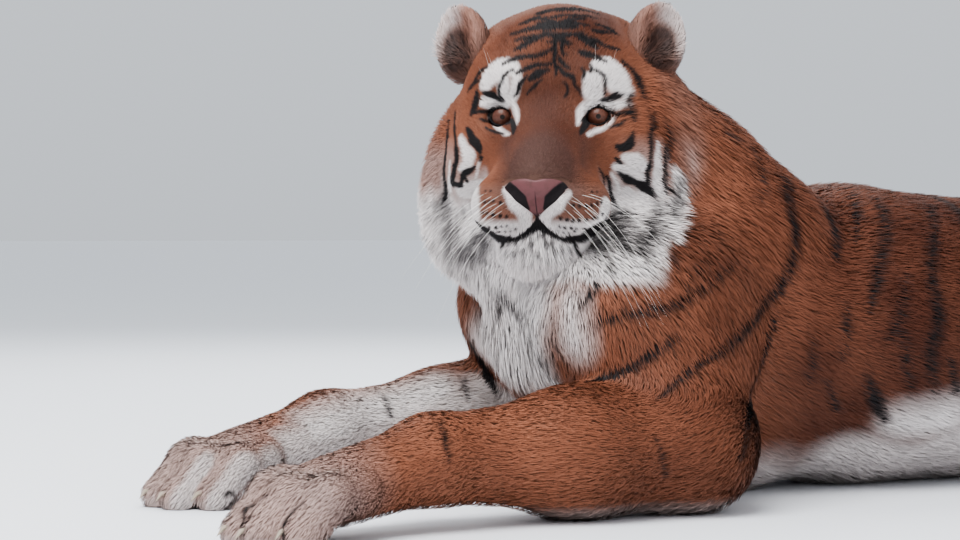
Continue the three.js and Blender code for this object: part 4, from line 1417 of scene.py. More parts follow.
class Markings:
    """The black stripes, white patches and brown shades, at points of the skin.

    Args:
        tiger: the animal.
        flank_step: the distance between the stripes over the barrel and the rump.
    """

    # The heights of the bars across the back of the crown, in the face's frame.
    NAPE = (130, 108, 82, 54)
    # How many spans are compared with the points at once.
    TOGETHER = 4
    # The share of a point's distance along the normal that doesn't count, and how much of it at most, mm.
    FORGIVEN = 0.75
    DEEP = 16
    # The grey smudges of the ruff in the face's frame: y, z, half width, half height and strength.
    SMUDGES = (
        (88, -140, 16, 20, 0.95), (112, -165, 22, 14, 0.9), (132, -140, 10, 28, 0.85),
        (156, -104, 8, 24, 0.8), (124, -196, 18, 7, 0.7), (76, -168, 15, 14, 0.85),
        (-124, -150, 12, 26, 0.8), (-100, -168, 22, 12, 0.85), (-138, -118, 10, 20, 0.7),
        (-76, -152, 14, 13, 0.85),
    )

    def __init__(self, tiger: Tiger, flank_step: float = 66) -> None:
        self.tiger = tiger
        self.rng = np.random.default_rng(11)
        strokes = [*self.face_strokes(), *self.body_strokes(), *self.flank_strokes(flank_step)]
        strokes += self.nape_strokes()
        self.spans = {ink: self.laid([stroke for stroke in strokes if stroke.ink is ink]) for ink in Ink}

    def laid(self, strokes: list[Stroke]) -> Array:
        """All spans of some strokes, laid on the skin. Each row ends with the edge's softness."""
        rows = np.vstack([np.column_stack([spans, np.full(len(spans), stroke.soft)])
                          for stroke in strokes for spans in [stroke.spans()]])
        for ends in (rows[:, :3], rows[:, 4:7]):
            ends[:] = settle(self.tiger.distance, ends, 4, 12)
        return rows

    def face_strokes(self) -> list[Stroke]:
        """The head's strokes, from its own frame."""
        made = []
        for ink, table, soft, widen, more in (
            (Ink.BLACK, FACE_BLACK, 2.4, 1.25, 1.6),
            (Ink.WHITE, FACE_WHITE, 5, 1.05, 0),
            (Ink.BROWN, FACE_BROWN, 30, 1, 0),
        ):
            for rows in table:
                rows = self.from_face(rows) * [1, 1, 1, widen] + [0, 0, 0, more]
                made.append(Stroke(ink, rows, soft))
        for rows in FACE_DOTS:
            made += self.dots(rows)
        return made

    def from_face(self, rows: Array) -> Array:
        """Rows of x, y, z and width from the face's frame."""
        return np.column_stack([self.tiger.face.out(rows[:, :3]), rows[:, 3]])

    def dots(self, rows: Array, gap: float = 7.5) -> list[Stroke]:
        """A row of small dark spots along a line of the face's frame."""
        run = runs(rows[:, :3])
        places = np.arange(gap / 3, run[-1], gap)
        spots = np.column_stack([np.interp(places, run, rows[:, axis]) for axis in range(4)])
        spots += self.rng.normal(size=spots.shape) * [0, 0.6, 0.6, 0.3] + [0, 0, 0, 2.0]
        return [Stroke(Ink.BLACK, self.from_face(spot[None]), 1.8) for spot in spots]

    def body_strokes(self) -> list[Stroke]:
        """The left side's strokes, and the same ones, a little moved, on the right side of the trunk."""
        made = [Stroke(Ink.WHITE, rows, 44) for rows in BODY_WHITE]
        for rows in BODY_BLACK:
            made.append(Stroke(Ink.BLACK, rows, 4))
            if rows[0, 0] > -120:
                moved = [self.rng.uniform(-18, 18), 0, 0, 0]
                made.append(Stroke(Ink.BLACK, rows * [1, -1, 1, 1] + moved, 4))
        return made

    def flank_strokes(self, step: float) -> list[Stroke]:
        """Stripes down the sides of the barrel and the rump, some with a thinner twin."""
        rng, starts, ways, widths = self.rng, [], [], []
        stripe = np.array([6, 13, 15, 14, 11, 5])
        stops = len(stripe)
        for side, first in ((LEFT, 330), (RIGHT, 300)):
            for x in np.arange(first, 1010, step):
                angles = np.radians(np.linspace(rng.uniform(2, 12), rng.uniform(84, 112), stops))
                for twin in range(1 if rng.random() < 0.45 else 2):
                    bow = twin * rng.uniform(13, 20) * np.sin(np.linspace(0.3, 2.6, stops))
                    sway = x + bow + rng.uniform(-7, 7, stops)
                    away = np.column_stack([np.zeros(stops), side * np.sin(angles), np.cos(angles)])
                    middle = np.column_stack([sway, np.zeros(stops), np.full(stops, 195)])
                    starts.append(middle + 420 * away)
                    ways.append(-away)
                    widths.append(stripe * (0.6 if twin else 1) * rng.uniform(0.8, 1.15))
        return self.cast_strokes(np.vstack(starts), np.vstack(ways), widths, 6)

    def cast_strokes(self, start: Array, way: Array, widths: list[Array], soft: float) -> list[Stroke]:
        """Black strokes where lines from outside meet the skin. A stroke that misses it is left out."""
        skin = self.tiger.cast(start, way)
        hit = (np.abs(self.tiger.distance(skin)) < 5).reshape(len(widths), -1).all(1)
        lines = skin.reshape(len(widths), -1, 3)
        return [
            Stroke(Ink.BLACK, np.column_stack([line, width]), soft)
            for line, width, found in zip(lines, widths, hit) if found
        ]

    def nape_strokes(self) -> list[Stroke]:
        """Bars across the back of the crown."""
        bar = np.array([5, 11, 14, 11, 5])
        rows = []
        for height in self.NAPE:
            y = np.array([-58, -30, 0, 28, 56]) + self.rng.uniform(-6, 6, len(bar))
            rows.append(np.column_stack([np.full(len(bar), -250), y, height - 0.12 * np.abs(y)]))
        start = self.tiger.face.out(np.vstack(rows))
        return self.cast_strokes(start, self.tiger.face.axes[0], [bar] * len(self.NAPE), 4)

    def painted(self, ink: Ink, p: Array, normal: Array) -> Array:
        """How fully the strokes of one ink cover each point, by the distance to the nearest span's edge.

        The part of that distance along the normal counts only for a quarter, near the skin.
        """
        order = np.argsort(p[:, 0])
        q, up, out = p[order], normal[order], np.zeros(len(p))
        spans = self.spans[ink]
        for first in range(0, len(spans), self.TOGETHER):
            some = spans[first:first + self.TOGETHER]
            ends = np.vstack([some[:, :3], some[:, 4:7]])
            margin = some[:, [3, 7]].max() / 2 + some[:, 8].max() + 6
            low, high = ends.min(0) - margin, ends.max(0) + margin
            slab = slice(*np.searchsorted(q[:, 0], (low[0], high[0])))
            boxed = (q[slab, 1:] > low[1:]) & (q[slab, 1:] < high[1:])
            near = slab.start + np.flatnonzero(boxed.all(1))
            if not len(near):
                continue
            way = some[:, 4:7] - some[:, :3]
            from_start = q[near][:, None] - some[:, :3]
            t = np.clip((from_start * way).sum(2) / np.maximum((way**2).sum(1), 1e-9), 0, 1)
            gap = from_start - t[:, :, None] * way
            lift = np.clip((gap * up[near][:, None]).sum(2, keepdims=True), -self.DEEP, self.DEEP)
            gap = np.linalg.norm(gap - self.FORGIVEN * lift * up[near][:, None], axis=2)
            edge = gap - (some[:, 3] + t * (some[:, 7] - some[:, 3])) / 2
            out[near] = np.maximum(out[near], np.clip(0.5 - edge / some[:, 8], 0, 1).max(1))
        back = np.empty_like(out)
        back[order] = out
        return back

    def at(self, p: Array, normal: Array, part: Array) -> Array:
        """How black, white and brown the hair is at each point, and how deep its ground is with painted
        shade, 0 to 1.
        """
        q = self.tiger.face.into(p)
        ear, head = among(part, Part.EAR), among(part, Part.HEAD, Part.EAR)
        wobble = p + 1.6 * np.column_stack([wave(p, 23, 1), wave(p, 19, 2), wave(p, 27, 3)])
        past_lid = np.where(head & ~ear, self.tiger.face.past_lid(q), 100)
        lids = np.flatnonzero(past_lid < 16)
        wobble[lids] = settle(self.tiger.distance, p[lids])
        black, white, brown = (self.painted(ink, wobble, normal) for ink in Ink)
        body = np.maximum(self.pale(p, normal, part), self.jowl(q))
        white = np.maximum(white, np.where(head, self.ruff(q), body))
        tail = np.flatnonzero(among(part, Part.TAIL))
        black[tail] = np.maximum(black[tail], self.rings(p[tail]))
        beside = ~head & (q[:, 0] > -40) & (np.abs(q[:, 1]) < 170) & (q[:, 2] > -216)
        dark = [self.lips(q) * head, ramp(past_lid, 4.6, 3.4), self.chin(q) * (head & ~ear | beside)]
        black = np.maximum.reduce([black, *dark])
        ear_black, ear_white = self.ear(q, normal)
        black, white = np.where(ear, ear_black, black), np.where(ear, ear_white, white)
        return np.column_stack([black, white, brown * head * ~ear, self.shade(p, q, part)])

    def shade(self, p: Array, q: Array, part: Array) -> Array:
        """The ground's depth: the crown's own deep colour, painted shade on flanks and thighs, painted light
        on forelegs.
        """
        _, y, z = halved(q)
        crown = ramp(z, -70, -30) * ramp(y, 90, 60, 0.2) - 0.5 * ramp(y, 80, 110)
        # Painted shade: deeper towards the rear, for the shade on the flanks and thighs.
        flank = ramp(p[:, 0], -200, 130, 0.5, 0.9)
        # Painted light: lighter towards the forepaws, for the lit tops of the forearms.
        legs = ramp(p[:, 0], -480, -60, 0.12, 0.6)
        fore = among(part, Part.FORELEG_LEFT, Part.FORELEG_RIGHT)
        head = among(part, Part.HEAD, Part.EAR)
        return np.where(head, 0.50 + 0.36 * crown, np.where(fore, legs, flank))

    def pale(self, p: Array, normal: Array, part: Array) -> Array:
        """The white of the belly, of the legs' inner sides and of the toes."""
        low = 50 + 42 * ramp(p[:, 0], 60, 260) + 18 * wave(p, 140, 3.0)
        belly = np.clip((low - p[:, 2]) / 46 + 0.5, 0, 0.76)
        q = self.tiger.face.into(p)
        throat = ramp(q[:, 2], -118, -142) * ramp(np.abs(q[:, 1]), 118, 88)
        belly = np.maximum(belly, 0.9 * throat * (q[:, 0] > -110) * (p[:, 2] > 150))
        belly = np.maximum(belly, self.rim(q) * among(part, Part.NECK) * (q[:, 1] > 0))
        inward = normal[:, 1] * np.where(among(part, Part.FORELEG_LEFT, Part.HINDLEG_LEFT), 1, -1)
        inner = np.clip(inward * 2.2 - 0.9, 0, 1)
        toes = np.zeros(len(p))
        for paw in self.tiger.paws():
            reach = (p - np.array(paw.root)) @ np.array(paw.forward)
            away = np.linalg.norm(p - np.array(paw.at(paw.length * 0.6, 0, 30)), axis=1) / paw.length
            near = np.clip((0.66 - away) * 5, 0, 1)
            toes = np.maximum(toes, 0.38 * ramp(reach / paw.length, 0.3, 0.75) * near)
        on_leg = np.maximum.reduce([inner * 0.85, toes, ramp(p[:, 2], 24, -6, 0, 0.5)])
        tail = np.clip(0.45 - normal[:, 2], 0, 0.75)
        on_leg = np.where(among(part, Part.TAIL), tail, on_leg)
        return np.where(among(part, Part.TRUNK, Part.NECK), belly, on_leg)

    def rings(self, p: Array) -> Array:
        """The tail's rings and black tip, closer and broader towards the tip."""
        along = Unwrap.of(Part.TAIL, self.tiger).places(p)[:, 0]
        phase = along * 10.5 + 0.06 * wave(p, 60, 1.0)
        # Where no hair grows, 0 to 1: the eyes' rims and the nose's leather.
        ring = np.clip((np.cos(2 * math.pi * phase) - 0.45 + 0.4 * along) * 3, 0, 1)
        return np.maximum(ring * np.clip((along - 0.1) * 9, 0, 1), np.clip((along - 0.93) * 40, 0, 1))

    def lips(self, q: Array) -> Array:
        """The black of the mouth's line and of the groove under the nose, in the face's frame."""
        x, y, z = halved(q)
        line = np.interp(y, [0, 14, 30, 50, 68, 86], [-131, -142, -150, -148, -137, -124])
        thick = np.interp(y, [0, 12, 26, 60, 86], [9, 6, 4, 6.5, 3])
        mouth = np.clip((thick - np.abs(z - line + 1.5)) / 1.5, 0, 1) * (x > 15)
        groove = ramp(y, 2.2, 1.0) * (z > -134) * (z < -112) * (x > 90)
        return np.maximum(mouth, groove)

    def ruff(self, q: Array) -> Array:
        """The white of the ruff's lower half, the paler muzzle and cheeks, in the face's frame."""
        x, y, z = halved(q)
        sway = 16 * wave(q * [1, 1, 0.35], 34, 1.0)
        low = ramp(z - sway, -64, -108) * ramp(x, 62, 40) * ramp(y, 60, 74)
        low = np.maximum(low, ramp(z, -126, -134))
        cheek = 0.24 * ramp(y, 84, 110) * ramp(z, -22, -52) * (x > -70)
        pad = 0.04 * ramp(x, 70, 90) * ramp(z, -84, -94)
        return np.maximum.reduce([low, cheek, pad, self.rim(q)])

    def jowl(self, q: Array) -> Array:
        """The ruff's white where it lies over the shoulder's first hair, in the face's frame."""
        x, y, z = halved(q)
        return ramp(z, -96, -112) * ramp(z, -216, -200) * ramp(y, 154, 138) * ramp(x, -10, 10)

    def rim(self, q: Array) -> Array:
        """The beige fringe of the ruff, which also covers the neck's first hair, in the face's frame."""
        x, y, z = halved(q)
        out = np.hypot(y, 0.9 * (z + 40))
        band = ramp(out, 140, 156) * ramp(out, 188, 174) * ramp(x, -30, -50)
        height = ramp(z, -10, -60, 0.2) * ramp(x, -150, -110)
        return 0.28 * band * height * (0.7 + 0.3 * wave(q * [1, 1, 0.3], 19, 3.0))

    def chin(self, q: Array) -> Array:
        """The dark flecks of the chin, the grey streaks of the cheeks' lower edge and the smudges."""
        x, y, z = halved(q)
        fleck = np.clip(wave(q * [1, 1, 0.35], 9, 2.0) * 3 + 0.1, 0, 1)
        zone = np.clip(1 - ((y / 46) ** 2 + ((z + 163) / 20) ** 2), 0, 1) * (x > 30)
        streak = np.clip(wave(q * [1, 1, 0.3], 21, 5.0) * 3 - 0.9, 0, 1)
        streak *= ramp(z, -96, -126) * ramp(y, 62, 76) * ramp(z, -216, -196)
        smudge = np.zeros(len(q))
        for side, height, wide, tall, amount in self.SMUDGES:
            out = np.hypot((q[:, 1] - side) / wide, (z - height) / tall)
            smudge = np.maximum(smudge, amount * np.clip(2.1 - 1.3 * out, 0, 1))
        smudge *= np.clip(1.05 + 1.2 * wave(q * [1, 1, 0.3], 13, 5.0), 0.3, 1) * ramp(x, 92, 80)
        return np.maximum.reduce([0.85 * fleck * np.clip(zone * 3, 0, 1), 0.7 * streak, smudge])

    def ear(self, q: Array, normal: Array) -> tuple[Array, Array]:
        """The ears' black backs with a white spot, and their pale fronts round a hollow darkened with painted
        shade.
        """
        _, y, z = halved(q)
        back = np.clip(0.1 - normal @ self.tiger.face.axes[0] * 2.5, 0, 1)
        spot = ramp(np.hypot(y - 132, z - 92), 19, 14) * back
        # Painted shade: the middle of the cupped hollow is darkened.
        hollow = ramp(np.hypot(y - 131, (z - 90) * 0.7), 27, 17) * (1 - back)
        fleck = 0.5 + 0.5 * wave(q, 11, 4.0)
        outer = ramp(y, 120, 140) * ramp(z, 62, 86)
        pale = (1 - back) * (0.12 + 0.6 * outer) * (0.7 + 0.3 * fleck) * (1 - 0.75 * hollow)
        black = np.maximum(back * (1 - spot), hollow * (0.72 + 0.2 * fleck))
        return black, np.maximum(spot, pale)


# ---- Finishes ----


class Nodes:
    """A node tree being put together.

    Args:
        tree: the material's or group's tree.
    """

    def __init__(self, tree: bpy.types.NodeTree) -> None:
        self.tree = tree

    def feed(self, socket: Socket, value: object) -> None:
        """Links a socket to another node's, or gives it a value. A colour gets its fourth number."""
        if isinstance(value, Socket):
            self.tree.links.new(value, socket)
        else:
            colour = isinstance(value, tuple) and socket.type == "RGBA"
            socket.default_value = (*value, 1) if colour else value

    def put(self, node: bpy.types.Node, **values: object) -> bpy.types.Node:
        """Sets a node's attributes and sockets by their names, with _ for spaces."""
        for key, value in values.items():
            if hasattr(node, key):
                setattr(node, key, value)
            else:
                self.feed(node.inputs[key.replace("_", " ")], value)
        return node

    def add(self, kind: str, **values: object) -> bpy.types.Node:
        """A new node, with its attributes and sockets."""
        return self.put(self.tree.nodes.new(kind), **values)

    def layer(self, name: str, output: str = "Fac") -> Socket:
        """What a named layer of the mesh says."""
        return self.add("ShaderNodeAttribute", attribute_name=name).outputs[output]

    def mix(self, factor: object, a: object, b: object) -> Socket:
        """Two colours mixed by a factor."""
        node = self.add("ShaderNodeMix", data_type="RGBA")
        for index, value in ((0, factor), (6, a), (7, b)):
            self.feed(node.inputs[index], value)
        return node.outputs[2]

    def math(self, kind: str, *values: object, clamp: bool = False) -> Socket:
        """An arithmetic node's value."""
        node = self.add("ShaderNodeMath", operation=kind, use_clamp=clamp)
        for socket, value in zip(node.inputs, values):
            self.feed(socket, value)
        return node.outputs[0]


def new_material(name: str) -> tuple[Material, Nodes, bpy.types.Node]:
    """A new material, its nodes and its shader."""
    material = bpy.data.materials.new(name)
    material.use_nodes = True
    return material, Nodes(material.node_tree), material.node_tree.nodes["Principled BSDF"]


def plain_finish(name: str, colour: Colour, rough: float) -> Material:
    """A material of one colour and roughness."""
    material, nodes, shader = new_material(name)
    nodes.put(shader, Base_Color=colour, Roughness=rough)
    return material


@dataclass(frozen=True)
class Pelage:
    """The hair's finish, shared by the skin and the coat, so that both carry the same marks.

    Args:
        warm, deep: the two tans that the ground colour wanders between; deep is also the flanks' painted
            shade.
        white, brown, black: the marks.
        root: the underwool close to the skin.
    """

    warm: Colour = (0.33, 0.125, 0.070)
    # Dark enough to carry the painted shade on the flanks.
    deep: Colour = (0.085, 0.025, 0.013)
    white: Colour = (0.80, 0.74, 0.72)
    brown: Colour = (0.078, 0.033, 0.025)
    black: Colour = (0.010, 0.008, 0.009)
    root: Colour = (0.30, 0.19, 0.14)

    def group(self) -> bpy.types.NodeTree:
        """The group that turns the marks and the place along the hair into a colour."""
        name = "pelage"
        if name in bpy.data.node_groups:
            return bpy.data.node_groups[name]
        tree = bpy.data.node_groups.new(name, "ShaderNodeTree")
        tree.interface.new_socket("Marks", in_out="INPUT", socket_type="NodeSocketColor")
        for label in ("Along", "Tone", "Shade"):
            tree.interface.new_socket(label, in_out="INPUT", socket_type="NodeSocketFloat")
        tree.interface.new_socket("Color", in_out="OUTPUT", socket_type="NodeSocketColor")
        nodes = Nodes(tree)
        given = nodes.add("NodeGroupInput").outputs
        place = nodes.add("ShaderNodeTexCoord").outputs["Object"]
        broad = nodes.add("ShaderNodeTexNoise", Vector=place, Scale=9.0, Detail=2.0).outputs[0]
        uneven = nodes.math("MULTIPLY_ADD", broad, 0.9, -0.45)
        # The ground between warm and deep by the shade layer: painted shade on the flanks, painted light on
        # the forelegs.
        colour = nodes.mix(nodes.math("ADD", uneven, given["Shade"], clamp=True), self.warm, self.deep)
        marks = nodes.add("ShaderNodeSeparateColor", Color=given["Marks"])
        black, white, brown = marks.outputs[:3]
        wool = nodes.math("MULTIPLY_ADD", given["Along"], -0.9, 0.45, clamp=True)
        layers = ((brown, self.brown), (white, self.white), (wool, self.root), (black, self.black))
        for share, over in layers:
            colour = nodes.mix(share, colour, over)
        toned = nodes.add("ShaderNodeHueSaturation", Color=colour, Value=given["Tone"])
        nodes.add("NodeGroupOutput", Color=toned.outputs[0])
        return tree

    def finish(self, name: str, rough: float, lean: float = 0) -> Material:
        """A material of hair.

        Args:
            name: the material's name.
            rough: its roughness.
            lean: how much of its normal comes from the skin below, for a soft and even coat.
        """
        material, nodes, shader = new_material(name)
        colour = nodes.add(
            "ShaderNodeGroup", node_tree=self.group(), Marks=nodes.layer("marks", "Color"),
            Along=nodes.layer("marks", "Alpha"), Tone=nodes.layer("tone"), Shade=nodes.layer("shade"),
        )
        nodes.put(shader, Base_Color=colour.outputs[0], Roughness=rough, Specular_IOR_Level=0.25)
        if lean:
            own = nodes.add("ShaderNodeNewGeometry").outputs["Normal"]
            both = nodes.add("ShaderNodeMix", data_type="VECTOR")
            for index, value in ((0, lean), (4, own), (5, nodes.layer("lean", "Vector"))):
                nodes.feed(both.inputs[index], value)
            normal = nodes.add("ShaderNodeVectorMath", operation="NORMALIZE")
            nodes.feed(normal.inputs[0], both.outputs[1])
            nodes.put(shader, Normal=normal.outputs[0])
        return material


@dataclass(frozen=True)
class EyeFinish:
    """The eyeball's finish: a dark pupil in an amber-brown iris with fine rays, under a wet surface.

    Args:
        pupil, iris: their radii, mm.
        inner, outer: the iris's colours.
        rim: the dark ring round the iris.
        white: the ball beyond it.
    """

    pupil: float = 3.0
    iris: float = 13.2
    inner: Colour = (0.095, 0.038, 0.026)
    outer: Colour = (0.078, 0.029, 0.020)
    rim: Colour = (0.012, 0.007, 0.005)
    white: Colour = (0.060, 0.038, 0.026)

    def build(self) -> Material:
        """The material. It reads each point's distance from the ball's middle line and its direction."""
        material, nodes, shader = new_material("eye")
        ring, ray = nodes.layer("ring"), nodes.layer("ray", "Vector")
        streaks = nodes.add("ShaderNodeTexNoise", Vector=ray, Scale=2.2, Detail=4.0).outputs[0]
        uneven = nodes.math("MULTIPLY_ADD", streaks, 1.6, nodes.math("SUBTRACT", ring, 0.8))

        def past(value: object, edge: float, soft: float) -> Socket:
            """0 inside an edge and 1 outside it, over a soft border."""
            return nodes.math("MULTIPLY_ADD", value, 1 / soft, -edge / soft, clamp=True)

        colour = nodes.mix(past(uneven, self.iris * 0.62, 4.5), self.inner, self.outer)
        bright = nodes.math("MULTIPLY_ADD", streaks, 1.7, 0.15)
        colour = nodes.add("ShaderNodeHueSaturation", Color=colour, Value=bright).outputs[0]
        colour = nodes.mix(past(ring, self.pupil - 0.2, 0.5), self.rim, colour)
        colour = nodes.mix(past(uneven, self.iris - 1.2, 1.2), colour, self.rim)
        colour = nodes.mix(past(ring, self.iris + 0.6, 1.5), colour, self.white)
        nodes.put(shader, Base_Color=colour, Roughness=0.45, Specular_IOR_Level=0.15)
        nodes.put(shader, Coat_Weight=0.25, Coat_Roughness=0.05)
        return material


@dataclass(frozen=True)
class Eye:
    """An eyeball with a bulging cornea, which looks a little to the animal's left and down.

    Args:
        side: LEFT or RIGHT.
        face: the face that holds it.
        gaze: the way both eyes look, in the face's frame.
        bulge: how far the cornea stands out.
        cornea: its radius.
        round_back: how far back the ball goes, degrees from the way it looks.
        rings, count: how many rings it has, and points on each.
    """

    side: int
    face: Face
    gaze: Place = (0.991, 0.127, -0.047)
    bulge: float = 1.5
    cornea: float = 11.6
    round_back: float = 125
    rings: int = 56
    count: int = 72

    def build(self, material: Material) -> Piece:
        """The eyeball, as rings round the way it looks."""
        tilt = np.linspace(0, math.radians(self.round_back), self.rings)[:, None]
        spin = np.linspace(0, 2 * math.pi, self.count, endpoint=False)[None]
        ahead = unit(np.array(self.gaze))
        aside = unit(np.cross([0, 0, 1], ahead))
        up = np.cross(ahead, aside)
        size = self.face.eye_radius
        reach = size * np.sin(tilt) + 0 * spin
        dome = np.clip(1 - (reach / self.cornea) ** 2, 0, 1) * (tilt < 1.5)
        depth = size * np.cos(tilt) + self.bulge * dome
        centre = np.array([0, -self.side * self.face.eye_side, 0])
        cos, sin = np.cos(spin)[:, :, None], np.sin(spin)[:, :, None]
        points = centre + depth[:, :, None] * ahead + reach[:, :, None] * (cos * aside + sin * up)
        ring = np.where(tilt < math.pi / 2, reach, 2 * size - reach)
        ray = np.stack([np.cos(spin) * 5 + 0 * ring, np.sin(spin) * 5 + 0 * ring, ring * 0.16], -1)
        name = "eyeball_left" if self.side == LEFT else "eyeball_right"
        layers = {"ring": ring.ravel(), "ray": ray.reshape(-1, 3)}
        quads = grid_quads(self.rings, self.count)
        piece = new_piece(name, self.face.out(points.reshape(-1, 3)), quads, None, layers)
        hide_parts("eye_left" if self.side == LEFT else "eye_right")
        return dressed(piece, material)


@dataclass(frozen=True)
class NoseFinish:
    """Moist pebbled leather: pink, mottled with grey, black along the edge, and black in the nostrils as
    painted shade.
    """

    pink: Colour = (0.128, 0.048, 0.050)
    grey: Colour = (0.10, 0.042, 0.040)
    black: Colour = (0.010, 0.007, 0.008)

    def build(self) -> Material:
        """The material. It reads how dark each point is from the mesh."""
        material, nodes, shader = new_material("nose")
        dark = nodes.layer("dark")
        place = nodes.add("ShaderNodeTexCoord").outputs["Object"]
        mottle = nodes.add("ShaderNodeTexNoise", Vector=place, Scale=160.0, Detail=3.0).outputs[0]
        patchy = nodes.math("MULTIPLY_ADD", mottle, 4.0, -2.0, clamp=True)
        colour = nodes.mix(dark, nodes.mix(patchy, self.pink, self.grey), self.black)
        pebbles = nodes.add("ShaderNodeTexVoronoi", Vector=place, Scale=900.0).outputs[0]
        bump = nodes.add("ShaderNodeBump", Strength=0.35, Distance=0.0006, Height=pebbles).outputs[0]
        rough = nodes.math("MULTIPLY_ADD", dark, 0.45, 0.45)
        nodes.put(shader, Base_Color=colour, Normal=bump, Roughness=rough, Specular_IOR_Level=0.3)
        return material


# The x in the face's frame, well ahead of the muzzle, from where lines look for the skin.
AHEAD = 190.0


@dataclass(frozen=True)
class Nose:
    """The nose's leather: a sheet laid over the muzzle's end and into the nostrils.

    Args:
        tiger: the animal.
        top, bottom: the sheet's upper and lower ends in the face's frame.
        proud: how far it stands out from the skin.
        wide, tall: how many points its grid has each way.
    """

    tiger: Tiger
    top: float = -79.0
    bottom: float = -129.0
    proud: float = 1.3
    wide: int = 81
    tall: int = 61

    def build(self, material: Material) -> Piece:
        """The sheet: a grid whose rows narrow to the bottom as the leather's outline does."""
        u = np.linspace(-1, 1, self.wide)[None]
        v = np.linspace(0, 1, self.tall)[:, None]
        z = self.top + (self.bottom - self.top) * v + 0 * u
        y = u * np.interp(z, NOSE_EDGE[0], NOSE_EDGE[1])
        z = z - (1 - v) ** 3 * (3.5 * (np.abs(y) / 30) ** 4 + 2.5 * np.exp(-((y / 8) ** 2)))
        y, z = y.ravel(), z.ravel()
        face = self.tiger.face
        start = face.out(np.column_stack([np.full(y.size, AHEAD), y, z]))
        skin = self.tiger.cast(start, -face.axes[0])
        border = np.minimum(1 - np.abs(u), np.minimum(v * 1.5, (1 - v) * 3)).ravel()
        lift = self.proud * np.clip(border * 9, 0, 1) ** 0.5 - 0.5
        away = slope(self.tiger.distance, skin, self.tiger.distance(skin))
        points = skin + unit(away) * lift[:, None]
        quads, layers = grid_quads(self.tall, self.wide, False), {"dark": self.dark(y, z, border)}
        return dressed(new_piece("nose_leather", points, quads, None, layers), material)

    def dark(self, y: Array, z: Array, border: Array) -> Array:
        """How dark the leather is: painted shade in the nostrils, and black along the edge and down the
        groove.
        """
        middle = np.array([[40, -79], [37, -85], [27, -94.5], [17.5, -104], [11, -115]])
        half = np.array([2.5, 4.6, 6.6, 7.0, 3.0])
        best = np.full(len(y), np.inf)
        y = np.abs(y)
        p = np.column_stack([y, z])
        for a, b, ha, hb in zip(middle, middle[1:], half, half[1:]):
            way = b - a
            t = np.clip((p - a) @ way / (way @ way), 0, 1)
            gap = np.linalg.norm(p - a - t[:, None] * way, axis=1)
            best = np.minimum(best, gap - (ha + t * (hb - ha)))
        # Painted shade: the nostrils' openings are black.
        pits = np.clip(0.5 - best / 1.5, 0, 1)
        rim = np.clip(1 - border * 22, 0, 1) * 0.9
        groove = np.clip((0.9 - y) / 0.6, 0, 1) * ramp(z, -94, -102) * 0.85
        return np.maximum.reduce([pits, rim, groove, ramp(z, -119, -124) * 0.95])


@dataclass(frozen=True)
class Whiskers:
    """The stiff white hairs of the muzzle and the brows.

    Args:
        tiger: the animal.
        thick: a whisker's radius at its root.
        sides, steps: how many faces go round it and how many lengths along it.
    """

    tiger: Tiger
    thick: float = 0.15
    sides: int = 4
    steps: int = 12

    def roots(self) -> Array:
        """For each whisker its root, its direction, its length and its sag, on both sides."""
        rng, rows = np.random.default_rng(5), []
        for mirror in (1, -1):
            for height, first, last, count in (
                (-98, 38, 62, 3), (-107, 34, 66, 4), (-117, 34, 66, 4), (-127, 40, 60, 3),
            ):
                for y in np.linspace(first, last, count) + rng.uniform(-2, 2, count):
                    way = [rng.uniform(0.1, 0.5), mirror, rng.uniform(-0.75, -0.25) + (height + 107) * 0.012]
                    length = rng.uniform(60, 125)
                    root = [AHEAD, mirror * y, height + rng.uniform(-2, 2)]
                    rows.append([*root, *way, length, rng.uniform(0.3, 0.65)])
            for y, z in ((52, 34), (58, 38), (66, 36), (72, 32)):
                way = [0.75, mirror * rng.uniform(0.1, 0.5), rng.uniform(0.6, 1.0)]
                rows.append([AHEAD, mirror * y, z, *way, rng.uniform(34, 58), -rng.uniform(0.1, 0.3)])
        return np.array(rows)

    def build(self, material: Material) -> Piece:
        """All whiskers as one piece of tapering tubes."""
        rows, face = self.roots(), self.tiger.face
        root = face.into(self.tiger.cast(face.out(rows[:, :3]), -face.axes[0]))
        way, length, sag = unit(rows[:, 3:6]), rows[:, 6], rows[:, 7]
        t = np.linspace(0, 1, self.steps + 1)[None, :, None]
        fall = np.array([-0.25, 0, -1]) * (length * sag)[:, None]
        line = root[:, None] - 2 * way[:, None] + t * (length[:, None] * way)[:, None] + t**2 * fall[:, None]
        side = unit(np.cross(way, [0, 0, 1]))[:, None, None]
        up = unit(np.cross(side, way[:, None, None]))
        spin = (np.arange(self.sides) * 2 * math.pi / self.sides)[None, None, :, None]
        size = (self.thick * (1 - t) ** 0.8 + 0.05)[..., None]
        points = line[:, :, None] + size * (np.cos(spin) * side + np.sin(spin) * up)
        tube = grid_quads(self.steps + 1, self.sides)[:, [0, 3, 2, 1]]
        first = np.arange(len(rows))[:, None, None] * (self.steps + 1) * self.sides
        quads = (first + tube).reshape(-1, 4)
        return dressed(new_piece("whiskers", face.out(points.reshape(-1, 3)), quads), material)


# ---- The studio ----


